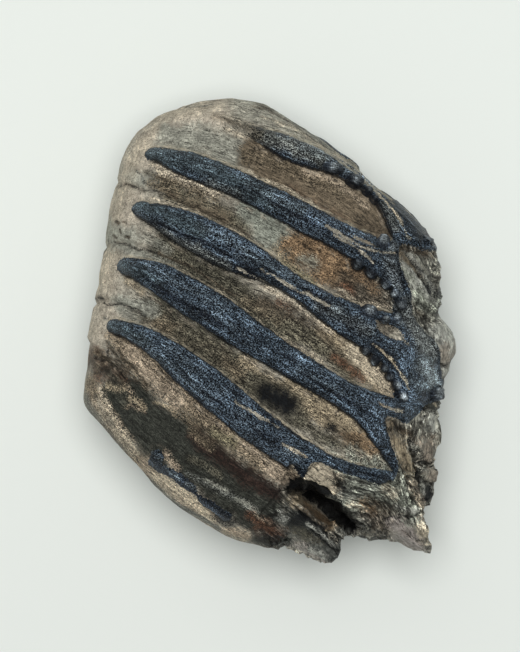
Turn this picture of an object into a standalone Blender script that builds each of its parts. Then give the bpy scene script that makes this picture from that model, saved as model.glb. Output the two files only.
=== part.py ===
"""Fossil southern mammoth molar lying on one side, with its other side up.

Metres, +Z up. The tooth's crown, unworn and coated with cement, points to -X, the root side to +X,
and the plates run from the upper left to the lower right of the plan. The origin is the bottom
centre of the tooth's box, on the flat face that it rests on. Plan points below are in millimetres
from the middle of the outline, with +Y to the top of the plan.
"""

import bmesh
import bpy
import numpy as np
from mathutils import Matrix, Vector

MM = 0.001
HALF_THICKNESS = 38.5  # from the widest level to the top, about half the tooth's width
REST_CUT = 3.0  # how far above its lowest point the underside is flat
VOXEL = 1.1
TRIANGLES = 9400

ENAMEL_CREST = 2.9  # how far an enamel ridge stands above its own edges
VALLEY_DEPTH = 3.2  # how far the cement between two plates lies below them
SUTURE_DEPTH = 1.6
SUTURE_HALF_WIDTH = 1.5
BASE_X = 44.0  # beyond this the ridges fade into the roots
CROWN_TIPS = -52.8  # x of the line through the ridges' crown ends, where it crosses y = 0

# The outline of the tooth without its root knobs, spur and lower root, anticlockwise.
OUTLINE = [
    (-17.6, 74.8), (-29.8, 71.9), (-40.5, 66.9), (-46.3, 59.5), (-48.9, 52.7), (-49.8, 46.3),
    (-52.4, 37.6), (-52.7, 27.9), (-55.0, 20.5), (-56.0, 11.8), (-58.2, 2.1), (-60.2, -9.2),
    (-61.2, -18.9), (-60.6, -24.6), (-56.0, -28.9), (-47.6, -38.2), (-38.9, -47.7),
    (-32.1, -54.2), (-22.7, -60.6), (-12.4, -66.9), (-7.3, -67.9), (-0.2, -70.2), (6.3, -67.8),
    (16.6, -66.0), (24.0, -65.0), (29.5, -65.8), (37.6, -66.6), (43.0, -60.8), (47.2, -51.1),
    (49.0, -38.2), (51.1, -25.3), (53.6, -14.0), (54.0, -4.4), (53.0, 5.3), (54.5, 13.4),
    (53.0, 19.2), (53.9, 25.2), (48.8, 32.9), (38.3, 42.3), (24.2, 55.2), (11.8, 65.0),
    (0.2, 71.9), (-7.6, 74.9),
]
# Roundness of the rim at each heading in degrees: a low power is a round rim, a high one a crisp one.
RIM_POWER = [(-180, 2.9), (-140, 3.6), (-100, 3.6), (-50, 3.0), (0, 2.6), (60, 3.2), (120, 3.0), (180, 2.9)]

# Where an edge runs on to from its crown end and from its root end.
CROWN_RUN_ON = (-40.0, 0.0)
ROOT_RUN_ON = (40.0, -12.0)
# Each plate's enamel ridge, as its upper and its lower edge from the crown to the root side. Where a
# valley closes, the edge above it and the edge below it end at the same point.
RIDGES = [
    (
        [(-15.5, 68.4), (-3.4, 64.9), (9.3, 61.1), (23.7, 54.1), (33.3, 45.8), (47.6, 33.0), (53.0, 26.0)],
        [(-15.5, 68.4), (-8.2, 63.0), (-0.9, 58.5), (7.8, 53.7), (22.1, 49.6), (33.3, 42.0), (39.6, 28.6)],
    ),
    (
        [(-39.7, 56.6), (-35.3, 58.5), (-20.9, 55.7), (-0.2, 46.7), (17.3, 37.8), (32.3, 30.5), (39.6, 28.6)],
        [(-39.7, 56.6), (-28.9, 50.2), (-9.8, 42.0), (9.3, 32.1), (25.3, 23.5), (37.4, 14.9), (41.9, 5.0)],
    ),
    (
        [(-43.9, 39.1), (-40.1, 41.0), (-25.7, 38.1), (-6.6, 28.9), (9.3, 17.4), (25.3, 9.4), (41.9, 5.0)],
        [(-43.9, 39.1), (-35.3, 31.8), (-16.1, 20.6), (3.0, 13.3), (22.1, -1.1), (34.2, -9.0), (40.8, -21.8)],
    ),
    (
        [(-48.7, 20.6), (-44.8, 23.2), (-32.1, 20.6), (-15.5, 11.4), (3.0, -2.0), (25.3, -16.0), (40.8, -21.8)],
        [(-48.7, 20.6), (-38.5, 13.0), (-16.1, -2.0), (3.0, -13.2), (25.3, -26.9), (33.3, -36.1), (39.3, -44.8)],
    ),
    (
        [(-52.2, 1.2), (-49.6, 3.7), (-38.5, 0.8), (-19.3, -10.6), (5.5, -30.7), (23.4, -41.2), (39.3, -44.8)],
        [(-52.2, 1.2), (-39.7, -6.8), (-23.8, -21.8), (-9.8, -33.3), (7.4, -44.4), (18.0, -48.6), (39.3, -48.0)],
    ),
]
# The last plate, broken open: its enamel shows as one low ridge near the lower left margin.
LAST_PLATE = [(-37.0, -39.0), (-30.0, -45.0), (-21.0, -53.0), (-10.0, -60.0), (2.0, -66.0)]
# The step where the cement below the lowest whole ridge is broken away.
BROKEN_STEP = [(-50.6, -9.7), (-38.5, -20.5), (-28.9, -28.2), (-14.6, -38.7), (-0.9, -49.0), (4.6, -51.1)]
# Cracks that run in from the crown margin, between the plates.
SUTURES = [
    [(-50.6, 47.1), (-47.1, 47.1), (-43.2, 46.1), (-37.8, 44.8)],
    [(-53.1, 27.0), (-49.3, 28.3), (-43.2, 27.3), (-33.4, 24.4)],
    [(-56.0, 8.8), (-53.4, 10.4), (-48.7, 8.8), (-38.5, 4.7)],
]
# Enamel beads round the root ends of the valleys: (x, y, radius, height).
BEADS = [
    (20.0, 51.4, 3.2, 1.6), (27.0, 47.8, 3.0, 1.6), (31.0, 44.2, 1.9, 1.1),
    (27.8, 21.9, 2.3, 1.3), (32.0, 19.0, 2.0, 1.2), (37.4, 14.9, 1.8, 1.0), (40.0, 11.2, 1.8, 1.0),
    (31.5, 6.3, 3.2, 1.6), (36.4, 3.4, 1.6, 0.9), (39.2, 3.4, 1.6, 0.9),
    (30.4, -6.2, 2.5, 1.4), (34.2, -9.0, 2.0, 1.1), (36.4, -11.6, 1.9, 1.1), (38.0, -14.6, 1.9, 1.1),
    (39.9, -18.0, 1.7, 1.0),
]
# Rounded root knobs down the right side: (x, y, height of centre, half length in x, in y and in z).
KNOBS = [
    (51.5, -3.6, 43.0, 8.8, 8.2, 16.0),
    (51.8, -14.2, 46.0, 5.5, 4.4, 8.0),
    (50.3, -22.0, 50.0, 5.0, 4.2, 6.0),
    (48.6, -30.4, 44.0, 5.3, 4.5, 10.0),
    (46.6, -38.8, 47.0, 5.8, 4.8, 9.0),
    (47.4, -45.4, 42.0, 7.9, 3.6, 7.0),
    (47.5, -51.8, 40.0, 5.8, 3.2, 9.0),
    (45.2, -58.4, 44.0, 3.6, 4.2, 8.0),
    (47.5, -20.0, 24.0, 6.0, 6.0, 9.0),
    (44.5, -34.0, 26.0, 7.0, 6.5, 8.0),
    (43.0, -48.0, 24.0, 6.0, 6.0, 8.0),
]
# The spur at the lower right, as balls along its middle line: (x, y, height, radius).
SPUR = [(41.5, -57.0, 46.0, 6.6), (44.8, -61.2, 46.0, 5.2), (47.8, -65.2, 45.0, 4.2), (50.6, -69.2, 44.0, 2.6)]
# The lower root beside the cavity, in the same form.
LOWER_ROOT = [(4.0, -57.0, 40.0, 9.5), (10.0, -61.5, 43.0, 9.0), (14.8, -66.0, 45.0, 7.0), (18.2, -70.2, 46.0, 4.2)]
# The cavity between the roots: its two ends on the plan, half width and floor height.
CAVITY = ((6.0, -48.6), (31.0, -66.5))
CAVITY_HALF_WIDTH = 4.7
CAVITY_FLOOR = 36.0


def smooth_line(points, steps=8, closed=False):
    """A Catmull-Rom line through the points."""
    points = np.array(points, float)
    if closed:
        padded = np.vstack([points[-1:], points, points[:2]])
    else:
        padded = np.vstack([2 * points[0] - points[1], points, 2 * points[-1] - points[-2]])
    line = []
    for a, b, c, d in zip(padded, padded[1:], padded[2:], padded[3:]):
        for t in np.arange(steps) / steps:
            bend = 2 * a - 5 * b + 4 * c - d + (3 * b - a - 3 * c + d) * t
            line.append(b + 0.5 * t * (c - a + bend * t))
    line.append(points[0] if closed else points[-1])
    return np.array(line)


def signed_distance(plan, line):
    """Distance in mm from each plan point to the line, positive on the left of its direction."""
    nearest = np.full(len(plan), np.inf)
    side = np.ones(len(plan))
    for start, step in zip(line, np.diff(line, axis=0)):
        offset = plan - start
        along = np.clip(offset @ step / (step @ step), 0.0, 1.0)
        gap = np.hypot(*(offset - along[:, None] * step).T)
        turn = step[0] * offset[:, 1] - step[1] * offset[:, 0]
        closer = gap < nearest
        nearest = np.where(closer, gap, nearest)
        side = np.where(closer, np.where(turn < 0, -1.0, 1.0), side)
    return nearest * side


def ease(value, start, end):
    """0 before start, 1 after end, and smooth between."""
    t = np.clip((value - start) / (end - start), 0.0, 1.0)
    return t * t * (3 - 2 * t)


def noise(points, size, seed):
    """Smooth repeatable noise from -1 to 1 with features of about this size in mm."""
    cell = np.floor(points / size).astype(np.int64)
    part = points / size - cell
    part = part * part * (3 - 2 * part)
    total = np.zeros(len(points))
    for corner in np.ndindex(2, 2, 2):
        x, y, z = (cell + corner + 5000).T
        mixed = (x * 374761393 + y * 668265263 + z * 1440662683 + seed * 127412617) & 0xFFFFFFFF
        mixed = ((mixed ^ (mixed >> 13)) * 1274126177) & 0xFFFFFFFF
        value = ((mixed ^ (mixed >> 16)) & 0xFFFF) / 32767.5 - 1.0
        total += value * np.prod(np.where(corner, part, 1 - part), axis=1)
    return total


def edge_distance(plan, edge):
    """Signed distance to a ridge's edge, which runs straight on past both of its ends."""
    line = smooth_line(edge)
    before = line[0] + np.array(CROWN_RUN_ON)
    after = line[-1] + np.array(ROOT_RUN_ON)
    return signed_distance(plan, np.vstack([before, line, after]))


def ridge_relief(plan):
    """The enamel ridges and the cement valleys between them."""
    edges = [[edge_distance(plan, edge) for edge in ridge] for ridge in RIDGES]
    to_base = 1 - ease(plan[:, 0], BASE_X, BASE_X + 10)
    from_margin = ease(plan[:, 0] - 0.226 * plan[:, 1], CROWN_TIPS - 6, CROWN_TIPS + 14)
    height = np.zeros(len(plan))
    for upper, lower in edges:
        below, above = np.maximum(-upper, 0), np.maximum(lower, 0)
        width = below + above + 1e-6
        crest = np.minimum(ENAMEL_CREST, 0.4 * width)
        height += crest * 2 * np.sqrt(below * above) / width * to_base
    for (_, lower), (upper, _) in zip(edges, edges[1:]):
        below, above = np.maximum(-lower, 0), np.maximum(upper, 0)
        width = below + above + 1e-6
        depth = np.minimum(VALLEY_DEPTH, 0.35 * width)
        height -= depth * 4 * below * above / width**2 * to_base * from_margin
    return height


def margin_relief(plan):
    """Beads, the cracks in from the crown margin, the broken step and the last plate."""
    height = np.zeros(len(plan))
    for x, y, radius, top in BEADS:
        away = np.hypot(plan[:, 0] - x, plan[:, 1] - y) / radius
        height += top * np.sqrt(np.clip(1 - away**2, 0, 1))
    for suture in SUTURES:
        gap = signed_distance(plan, smooth_line(suture))
        fade = 1 - ease(plan[:, 0], suture[-1][0] - 6, suture[-1][0] + 1)
        height -= SUTURE_DEPTH * np.exp(-((gap / SUTURE_HALF_WIDTH) ** 2)) * fade
    step = signed_distance(plan, smooth_line(BROKEN_STEP))
    near = ease(step, -22, -8) * (1 - ease(plan[:, 0], 0, 12))
    height -= 1.8 * (1 - ease(step, -1.4, 0.6)) * near
    last = signed_distance(plan, smooth_line(LAST_PLATE))
    return height + 1.3 * np.exp(-((last / 3.0) ** 2))


def rough_relief(points):
    """Lumps and layers: faint on the crown, strong on the broken roots."""
    plan = points[:, :2]
    toward_root = ease(plan[:, 0] - 0.9 * plan[:, 1], 48, 86)
    along = np.column_stack([
        0.30 * (0.82 * plan[:, 0] - 0.57 * plan[:, 1]),
        0.57 * plan[:, 0] + 0.82 * plan[:, 1],
        0.5 * points[:, 2],
    ])
    layers = noise(along, 3.2, 11) * (0.35 + 0.9 * toward_root)
    lumps = noise(points, 9.0, 4) * (0.5 + 0.8 * toward_root)
    return 0.8 * layers + 0.8 * lumps


def relief(points, up):
    """How far the surface moves along its normal at each point; the hidden side carries the same plates."""
    hidden = ease(-up, -0.1, 0.3)
    upper = ridge_relief(points[:, :2]) + margin_relief(points[:, :2])
    under_plan = points[:, :2] * 0.97 + np.array([1.5, -3.0])
    under = 0.8 * ridge_relief(under_plan)
    return upper * (1 - hidden) + under * hidden + rough_relief(points)


def coordinates(mesh):
    points = np.empty(len(mesh.vertices) * 3)
    mesh.vertices.foreach_get("co", points)
    return points.reshape(-1, 3)


def set_coordinates(mesh, points):
    mesh.vertices.foreach_set("co", points.astype(np.float32).ravel())
    mesh.update()


def mesh_object(name, bm):
    mesh = bpy.data.meshes.new(name)
    bm.to_mesh(mesh)
    bm.free()
    obj = bpy.data.objects.new(name, mesh)
    bpy.context.scene.collection.objects.link(obj)
    return obj


def apply_modifiers(obj):
    """The object's mesh becomes the shape that its modifiers give."""
    graph = bpy.context.evaluated_depsgraph_get()
    shaped = bpy.data.meshes.new_from_object(obj.evaluated_get(graph))
    obj.modifiers.clear()
    obj.data = shaped


def body():
    """A cushion with the tooth's outline: each direction of a ball, moved out to the outline."""
    bm = bmesh.new()
    bmesh.ops.create_icosphere(bm, subdivisions=6, radius=1.0)
    outline = smooth_line(OUTLINE, closed=True)
    heading = np.degrees(np.arctan2(outline[:, 1], outline[:, 0]))
    order = np.argsort(heading)
    reach = np.hypot(*outline.T)[order]
    ball = np.array([vert.co for vert in bm.verts], float)
    toward = np.degrees(np.arctan2(ball[:, 1], ball[:, 0]))
    radius = np.interp(toward, heading[order], reach, period=360)
    power = np.interp(toward, *zip(*RIM_POWER))
    across = np.hypot(ball[:, 0], ball[:, 1]) + 1e-9
    level = ball[:, 2]
    scale = (across**power + np.abs(level) ** power) ** (-1 / power)
    plan = ball[:, :2] / across[:, None] * (radius * across * scale)[:, None]
    height = HALF_THICKNESS * (1 + level * scale)
    for vert, (x, y), z in zip(bm.verts, plan, height):
        vert.co = (x * MM, y * MM, z * MM)
    return mesh_object("molar", bm)


def add_ball(bm, x, y, z, half_x, half_y, half_z):
    place = Matrix.Translation(Vector((x, y, z)) * MM) @ Matrix.Diagonal((half_x * MM, half_y * MM, half_z * MM, 1))
    bmesh.ops.create_icosphere(bm, subdivisions=4, radius=1.0, matrix=place)


def add_taper(bm, balls, flatness=1.0, between=6):
    """A root: balls close together along a line, each as wide as the line is there."""
    line = smooth_line(balls, between)
    for x, y, z, radius in line:
        add_ball(bm, x, y, z, radius, radius, radius * flatness)


def roots():
    """The root knobs, the spur and the lower root, still as overlapping shapes."""
    bm = bmesh.new()
    for knob in KNOBS:
        add_ball(bm, *knob)
    add_taper(bm, SPUR, flatness=1.7)
    add_taper(bm, LOWER_ROOT, flatness=1.5)
    return mesh_object("roots", bm)


def cavity():
    """The cutter for the cavity between the roots: a round-ended slot, widest in the middle."""
    bm = bmesh.new()
    bmesh.ops.create_icosphere(bm, subdivisions=5, radius=1.0)
    (x0, y0), (x1, y1) = CAVITY
    half_length = 0.5 * np.hypot(x1 - x0, y1 - y0)
    top = 2 * HALF_THICKNESS + 6
    half_height = top - CAVITY_FLOOR
    place = (
        Matrix.Translation(Vector(((x0 + x1) / 2, (y0 + y1) / 2, top)) * MM)
        @ Matrix.Rotation(np.arctan2(y1 - y0, x1 - x0), 4, "Z")
        @ Matrix.Diagonal((half_length * MM, CAVITY_HALF_WIDTH * MM, half_height * MM, 1))
    )
    bmesh.ops.transform(bm, matrix=place, verts=bm.verts)
    cutter = mesh_object("cavity_cutter", bm)
    cutter.hide_render = True
    cutter.display_type = "WIRE"
    return cutter


def join_roots(tooth, rooted):
    """The tooth and its roots as one skin."""
    bm = bmesh.new()
    bm.from_mesh(tooth.data)
    bm.from_mesh(rooted.data)
    bm.to_mesh(tooth.data)
    bm.free()
    bpy.data.objects.remove(rooted)
    one_skin(tooth)


def one_skin(tooth):
    remesh = tooth.modifiers.new("one skin", "REMESH")
    remesh.mode = "VOXEL"
    remesh.voxel_size = VOXEL * MM
    apply_modifiers(tooth)


def carve(tooth):
    cut = tooth.modifiers.new("cavity", "BOOLEAN")
    cut.operation = "DIFFERENCE"
    cut.solver = "EXACT"
    cut.object = cavity()
    apply_modifiers(tooth)
    one_skin(tooth)


def add_relief(tooth):
    """Every point moves along its normal by the relief there, and the underside is cut flat."""
    mesh = tooth.data
    normals = np.array([vert.normal for vert in mesh.vertices])
    points = coordinates(mesh) / MM
    points += normals * relief(points, normals[:, 2])[:, None]
    points[:, 2] = np.maximum(points[:, 2], REST_CUT)
    set_coordinates(mesh, points * MM)


def simplify(tooth):
    """Fewer triangles, most of them where the surface bends."""
    tooth.data.calc_loop_triangles()
    fewer = tooth.modifiers.new("fewer triangles", "DECIMATE")
    fewer.ratio = TRIANGLES / len(tooth.data.loop_triangles)
    fewer.use_collapse_triangulate = True
    apply_modifiers(tooth)


def settle(tooth):
    """The rest face lies at zero height and the box's middle over the origin."""
    points = coordinates(tooth.data)
    low, high = points.min(axis=0), points.max(axis=0)
    points -= [(low[0] + high[0]) / 2, (low[1] + high[1]) / 2, low[2]]
    set_coordinates(tooth.data, points)


def fossil_material():
    material = bpy.data.materials.new("fossil enamel and cement")
    material.use_nodes = True
    shader = material.node_tree.nodes["Principled BSDF"]
    shader.inputs["Base Color"].default_value = (0.16, 0.14, 0.115, 1.0)
    shader.inputs["Roughness"].default_value = 0.55
    shader.inputs["Metallic"].default_value = 0.0
    return material


def main():
    for obj in list(bpy.data.objects):
        bpy.data.objects.remove(obj)
    tooth = body()
    join_roots(tooth, roots())
    carve(tooth)
    add_relief(tooth)
    simplify(tooth)
    settle(tooth)
    tooth.data.shade_smooth()
    tooth.data.set_sharp_from_angle(angle=np.radians(50))
    tooth.data.materials.clear()
    tooth.data.materials.append(fossil_material())


main()
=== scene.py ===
"""Fossil southern mammoth molar, lying on one side and seen from straight above.

The surface is built again here from the solid's own points and values, and then gets the detail that
the solid has no room for. Only the cracks at the crown margin are narrower and shallower than there.
Points of the plan are in millimetres. The limits of the enamel, the beads and the strokes of colour
are where they lie in the camera's frame, in pixels of 520 by 652, at 3.1 pixels to the millimetre.
"""

import bmesh
import bpy
import numpy as np
from mathutils import Matrix, Vector


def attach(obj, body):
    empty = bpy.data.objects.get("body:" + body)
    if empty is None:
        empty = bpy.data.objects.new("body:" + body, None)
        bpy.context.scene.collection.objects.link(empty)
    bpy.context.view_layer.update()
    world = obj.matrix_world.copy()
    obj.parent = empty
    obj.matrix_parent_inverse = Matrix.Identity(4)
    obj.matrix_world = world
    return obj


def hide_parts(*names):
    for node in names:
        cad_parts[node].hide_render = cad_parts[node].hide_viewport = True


MM = 0.001
HALF_THICKNESS = 38.5  # from the widest level to the top, about half the tooth's width
REST_CUT = 3.0  # how far above its lowest point the underside is flat
SKIN_VOXEL = 1.64

ENAMEL_CREST = 2.9  # how far an enamel ridge stands above its own edges
VALLEY_DEPTH = 3.2  # how far the cement between two plates lies below them
SUTURE_DEPTH = 1.1
SUTURE_HALF_WIDTH = 0.7
STEP_DEPTH = 1.8  # how far the cement is broken away below the lowest whole ridge
LAST_PLATE_HEIGHT = 1.3
LAST_PLATE_HALF_WIDTH = 3.0
BASE_X = 44.0  # beyond this the ridges fade into the roots
CROWN_TIPS = -52.8  # x of the line through the ridges' crown ends, where it crosses y = 0
CROWN_LEAN = 0.226  # how much further to +X that line lies for each mm of y

# The camera stands straight above this point of the plan, far off, so its view is nearly flat.
CAMERA_PLAN = (-3.4, 1.8)
CAMERA_HEIGHT = 3000.0
FRAME_SIZE = (520, 652)
PIXELS_PER_MM = 3.1
WIDEST_LEVEL = 38.0
TOP_LEVEL = 73.0

PLATE_SPACING = 18.2
SLAB_WIDTH = 1.7
CHUNK_SIZE = 3.0
COAT = 0.5  # the enamel's step over the cement
GAP_DEPTH = 0.6  # the groove in the cement along the lower edge of the enamel
PIT_DEPTH = 0.4
# The dark of the cavity is painted shade, and it is sunk as well.
CAVITY_DROP = 2.0  # how far the dark of the cavity is sunk further
BEAD_ROUNDNESS = 0.9
STRAND_HALF_WIDTH = 0.42
FAR_OUTSIDE = -30.0  # the depth of a point that is in no band, in mm
DEPTH_KEPT = 12.0  # depths are stored for the material up to this far in and out
# The hidden side repeats the ridges at this scale, moved by this much.
UNDER_SCALE = 0.97
UNDER_SHIFT = (1.5, -3.0)
# From this level down, over this many mm, the colours of the turned sides drift by up to so many pixels.
DRIFT_LEVEL = 62.0
DRIFT_DEPTH = 40.0
DRIFT_PIXELS = 26.0
WAVER_PIXELS = 0.9
THIN_STROKE = 2.0  # a strong stroke under this half width in pixels gets the finest mesh
FINE_ABOVE = 44.0  # the upper side above this level gets the finer mesh
EDGE_REACH = 0.8  # the finest mesh reaches this far from an enamel edge

ROOM_LIGHT = 0.28
ROOM_COLOUR = (0.97, 1.0, 0.975, 1)
# Each lamp: strength, then in degrees its lean to the top and to the left of the frame, and its spread.
LAMPS = [(2.30, 5, 1, 30), (0.16, 28, 12, 30)]
SENSOR_WIDTH = 36.0
# The sheet's colour at the lower and at the upper end of the frame, darker at the lower end as painted shade,
# and where in metres they are reached.
SHEET_SHADE_COLOURS = [(0.738, 0.768, 0.733, 1), (0.79, 0.825, 0.785, 1)]
SHEET_REACH = (-0.13, 0.06)
SHEET_HALF_SIZE = 8.0

# The material's noises: features to the metre.
FINE_SCALE = 1900.0
SPECK_SCALE = 2700.0
BLOT_SCALE = 850.0
PATCH_SCALE = 330.0
CLOUD_SCALE = 130.0
# Its noises along the grain: features to the millimetre along it, across it and down.
STREAKS = (0.13, 1.2, 0.2)
HAIRS = (0.35, 3.0, 0.35)
THREADS = (0.11, 0.75, 0.3)
SPLITS = (0.06, 0.5, 0.3)
BUMP_HEIGHT = 0.0009
# Its own colours: painted light on the cement just above a ridge and on the cement below one, then the dark
# of pits and the painted shadow in the gap below a ridge, then the enamel's pale specks, partly painted
# glints, and the painted shade at the enamel's edge.
LIT_RIM_COLOUR = (0.50, 0.44, 0.33, 1)
LIT_LIP_COLOUR = (0.46, 0.39, 0.30, 1)
PIT_COLOUR = (0.012, 0.011, 0.009, 1)
GAP_SHADOW_COLOUR = (0.008, 0.009, 0.010, 1)
GLINT_SPECK_COLOUR = (0.31, 0.335, 0.32, 1)
EDGE_SHADE_COLOUR = (0.006, 0.008, 0.012, 1)

OUTLINE = [
    (-17.6, 74.8), (-29.8, 71.9), (-40.5, 66.9), (-46.3, 59.5), (-48.9, 52.7), (-49.8, 46.3),
    (-52.4, 37.6), (-52.7, 27.9), (-55.0, 20.5), (-56.0, 11.8), (-58.2, 2.1), (-60.2, -9.2),
    (-61.2, -18.9), (-60.6, -24.6), (-56.0, -28.9), (-47.6, -38.2), (-38.9, -47.7),
    (-32.1, -54.2), (-22.7, -60.6), (-12.4, -66.9), (-7.3, -67.9), (-0.2, -70.2), (6.3, -67.8),
    (16.6, -66.0), (24.0, -65.0), (29.5, -65.8), (37.6, -66.6), (43.0, -60.8), (47.2, -51.1),
    (49.0, -38.2), (51.1, -25.3), (53.6, -14.0), (54.0, -4.4), (53.0, 5.3), (54.5, 13.4),
    (53.0, 19.2), (53.9, 25.2), (48.8, 32.9), (38.3, 42.3), (24.2, 55.2), (11.8, 65.0),
    (0.2, 71.9), (-7.6, 74.9),
]
# Roundness of the rim at each heading in degrees: a low power is a round rim, a high one a crisp one.
RIM_POWER = [(-180, 2.9), (-140, 3.6), (-100, 3.6), (-50, 3.0), (0, 2.6), (60, 3.2), (120, 3.0), (180, 2.9)]

# Where an edge runs on to from its crown end and from its root end.
CROWN_RUN_ON = (-40.0, 0.0)
ROOT_RUN_ON = (40.0, -12.0)
# Each plate's enamel ridge, as its upper and its lower edge from the crown to the root side. Where a
# valley closes, the edge above it and the edge below it end at the same point.
RIDGES = [
    (
        [(-15.5, 68.4), (-3.4, 64.9), (9.3, 61.1), (23.7, 54.1), (33.3, 45.8), (47.6, 33.0), (53.0, 26.0)],
        [(-15.5, 68.4), (-8.2, 63.0), (-0.9, 58.5), (7.8, 53.7), (22.1, 49.6), (33.3, 42.0), (39.6, 28.6)],
    ),
    (
        [(-39.7, 56.6), (-35.3, 58.5), (-20.9, 55.7), (-0.2, 46.7), (17.3, 37.8), (32.3, 30.5), (39.6, 28.6)],
        [(-39.7, 56.6), (-28.9, 50.2), (-9.8, 42.0), (9.3, 32.1), (25.3, 23.5), (37.4, 14.9), (41.9, 5.0)],
    ),
    (
        [(-43.9, 39.1), (-40.1, 41.0), (-25.7, 38.1), (-6.6, 28.9), (9.3, 17.4), (25.3, 9.4), (41.9, 5.0)],
        [(-43.9, 39.1), (-35.3, 31.8), (-16.1, 20.6), (3.0, 13.3), (22.1, -1.1), (34.2, -9.0), (40.8, -21.8)],
    ),
    (
        [(-48.7, 20.6), (-44.8, 23.2), (-32.1, 20.6), (-15.5, 11.4), (3.0, -2.0), (25.3, -16.0),
         (40.8, -21.8)],
        [(-48.7, 20.6), (-38.5, 13.0), (-16.1, -2.0), (3.0, -13.2), (25.3, -26.9), (33.3, -36.1),
         (39.3, -44.8)],
    ),
    (
        [(-52.2, 1.2), (-49.6, 3.7), (-38.5, 0.8), (-19.3, -10.6), (5.5, -30.7), (23.4, -41.2),
         (39.3, -44.8)],
        [(-52.2, 1.2), (-39.7, -6.8), (-23.8, -21.8), (-9.8, -33.3), (7.4, -44.4), (18.0, -48.6),
         (39.3, -48.0)],
    ),
]
# The last plate, broken open: its enamel shows as one low ridge near the lower left margin.
LAST_PLATE = [(-37.0, -39.0), (-30.0, -45.0), (-21.0, -53.0), (-10.0, -60.0), (2.0, -66.0)]
# The step where the cement below the lowest whole ridge is broken away.
BROKEN_STEP = [(-50.6, -9.7), (-38.5, -20.5), (-28.9, -28.2), (-14.6, -38.7), (-0.9, -49.0), (4.6, -51.1)]
# Cracks that run in from the crown margin, between the plates.
SUTURES = [
    [(-50.6, 47.1), (-47.1, 47.1), (-43.2, 46.1), (-37.8, 44.8)],
    [(-53.1, 27.0), (-49.3, 28.3), (-43.2, 27.3), (-33.4, 24.4)],
    [(-56.0, 8.8), (-53.4, 10.4), (-48.7, 8.8), (-38.5, 4.7)],
]
# Rounded root knobs down the right side: (x, y, height of centre, half length in x, in y and in z).
KNOBS = [
    (51.5, -3.6, 43.0, 8.8, 8.2, 16.0),
    (51.8, -14.2, 46.0, 5.5, 4.4, 8.0),
    (50.3, -22.0, 50.0, 5.0, 4.2, 6.0),
    (48.6, -30.4, 44.0, 5.3, 4.5, 10.0),
    (46.6, -38.8, 47.0, 5.8, 4.8, 9.0),
    (47.4, -45.4, 42.0, 7.9, 3.6, 7.0),
    (47.5, -51.8, 40.0, 5.8, 3.2, 9.0),
    (45.2, -58.4, 44.0, 3.6, 4.2, 8.0),
    (47.5, -20.0, 24.0, 6.0, 6.0, 9.0),
    (44.5, -34.0, 26.0, 7.0, 6.5, 8.0),
    (43.0, -48.0, 24.0, 6.0, 6.0, 8.0),
]
# The spur at the lower right, as balls along its middle line: (x, y, height, radius).
SPUR = [
    (40.5, -57.5, 46.0, 6.6), (43.3, -61.6, 46.0, 5.6), (46.3, -65.2, 45.0, 4.9), (49.6, -68.9, 44.0, 3.3),
]
# The lower root beside the cavity, in the same form.
LOWER_ROOT = [
    (4.0, -57.0, 40.0, 9.5), (10.0, -61.5, 43.0, 9.0), (14.8, -66.0, 45.0, 7.0), (18.2, -70.2, 46.0, 4.2),
]
# The cavity between the roots: its two ends on the plan, half width and floor height.
CAVITY = ((6.0, -48.6), (31.0, -66.5))
CAVITY_HALF_WIDTH = 4.7
CAVITY_FLOOR = 36.0

# Where no enamel is, beyond the plates' root ends, clockwise in the frame and in pixels.
BEYOND_ENAMEL = [
    (342, 150), (372, 176), (400, 205), (425, 230), (440, 250), (425, 250), (405, 243), (399, 250),
    (400, 262), (403, 275), (409, 290), (411, 303), (413, 316), (424, 330), (434, 340), (440, 352),
    (440, 366), (443, 380), (444, 392), (439, 401), (428, 404), (417, 415), (406, 424), (396, 418),
    (386, 417), (387, 430), (390, 442), (395, 455), (398, 468), (386, 483), (360, 478), (336, 470),
    (318, 462), (309, 466), (304, 477), (285, 477), (285, 650), (600, 650), (600, 150),
]
# The rounded tips of the ridges and of the last plate's enamel: middle and radius in pixels.
TIPS = [(152, 155, 6.5), (141, 210, 7.5), (126, 267, 8), (114, 327, 6), (157, 457, 7)]
# Strands of cement that show between folds of the enamel, in pixels.
STRANDS = [
    [(238, 268), (252, 275), (262, 281), (275, 290), (290, 299), (300, 306), (310, 316), (322, 326)],
    [(262, 270), (272, 275), (280, 281), (290, 286), (300, 291), (308, 294), (315, 299), (330, 306)],
    [(326, 226), (345, 237), (360, 245), (375, 251), (396, 254)],
    [(335, 235), (350, 244), (362, 252), (374, 263)],
    [(343, 163), (360, 177), (375, 191), (395, 213), (402, 226), (409, 240)],
    [(296, 138), (312, 144), (328, 152), (345, 166)],
    [(372, 343), (386, 355), (395, 365), (402, 376), (409, 389)],
    [(250, 393), (265, 405), (280, 415), (300, 428), (320, 438)],
    [(235, 402), (252, 412), (265, 420), (278, 428)],
    [(380, 402), (390, 409), (402, 412)],
    [(283, 444), (294, 450), (307, 457)],
    [(377, 322), (388, 328), (400, 336), (408, 345)],
]
# Where cement fills a hollow between folds of the enamel: middle, half length, half width and direction,
# in pixels and degrees.
HOLLOWS = [(236, 125, 18, 5, -24), (390, 331, 15, 6, -28), (296, 451, 10, 2.2, -30), (363, 241, 12, 1.6, -24)]
# Where the first ridge fades into the cement without an edge, in the same form.
FAINT_EDGE = (244, 128, 36, 16, -24)
# Lower edges with pale cement right up to the enamel, without the painted shadow below them and with a
# shallower groove, in the same form.
SHADOWLESS_EDGES = [(175, 308, 52, 9, -34), (195, 398, 95, 9, -40)]
# The broken end of the last plate's enamel, in pixels.
LAST_ENAMEL = [(153, 462), (166, 470), (182, 481), (200, 497), (216, 509), (228, 518)]
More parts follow.
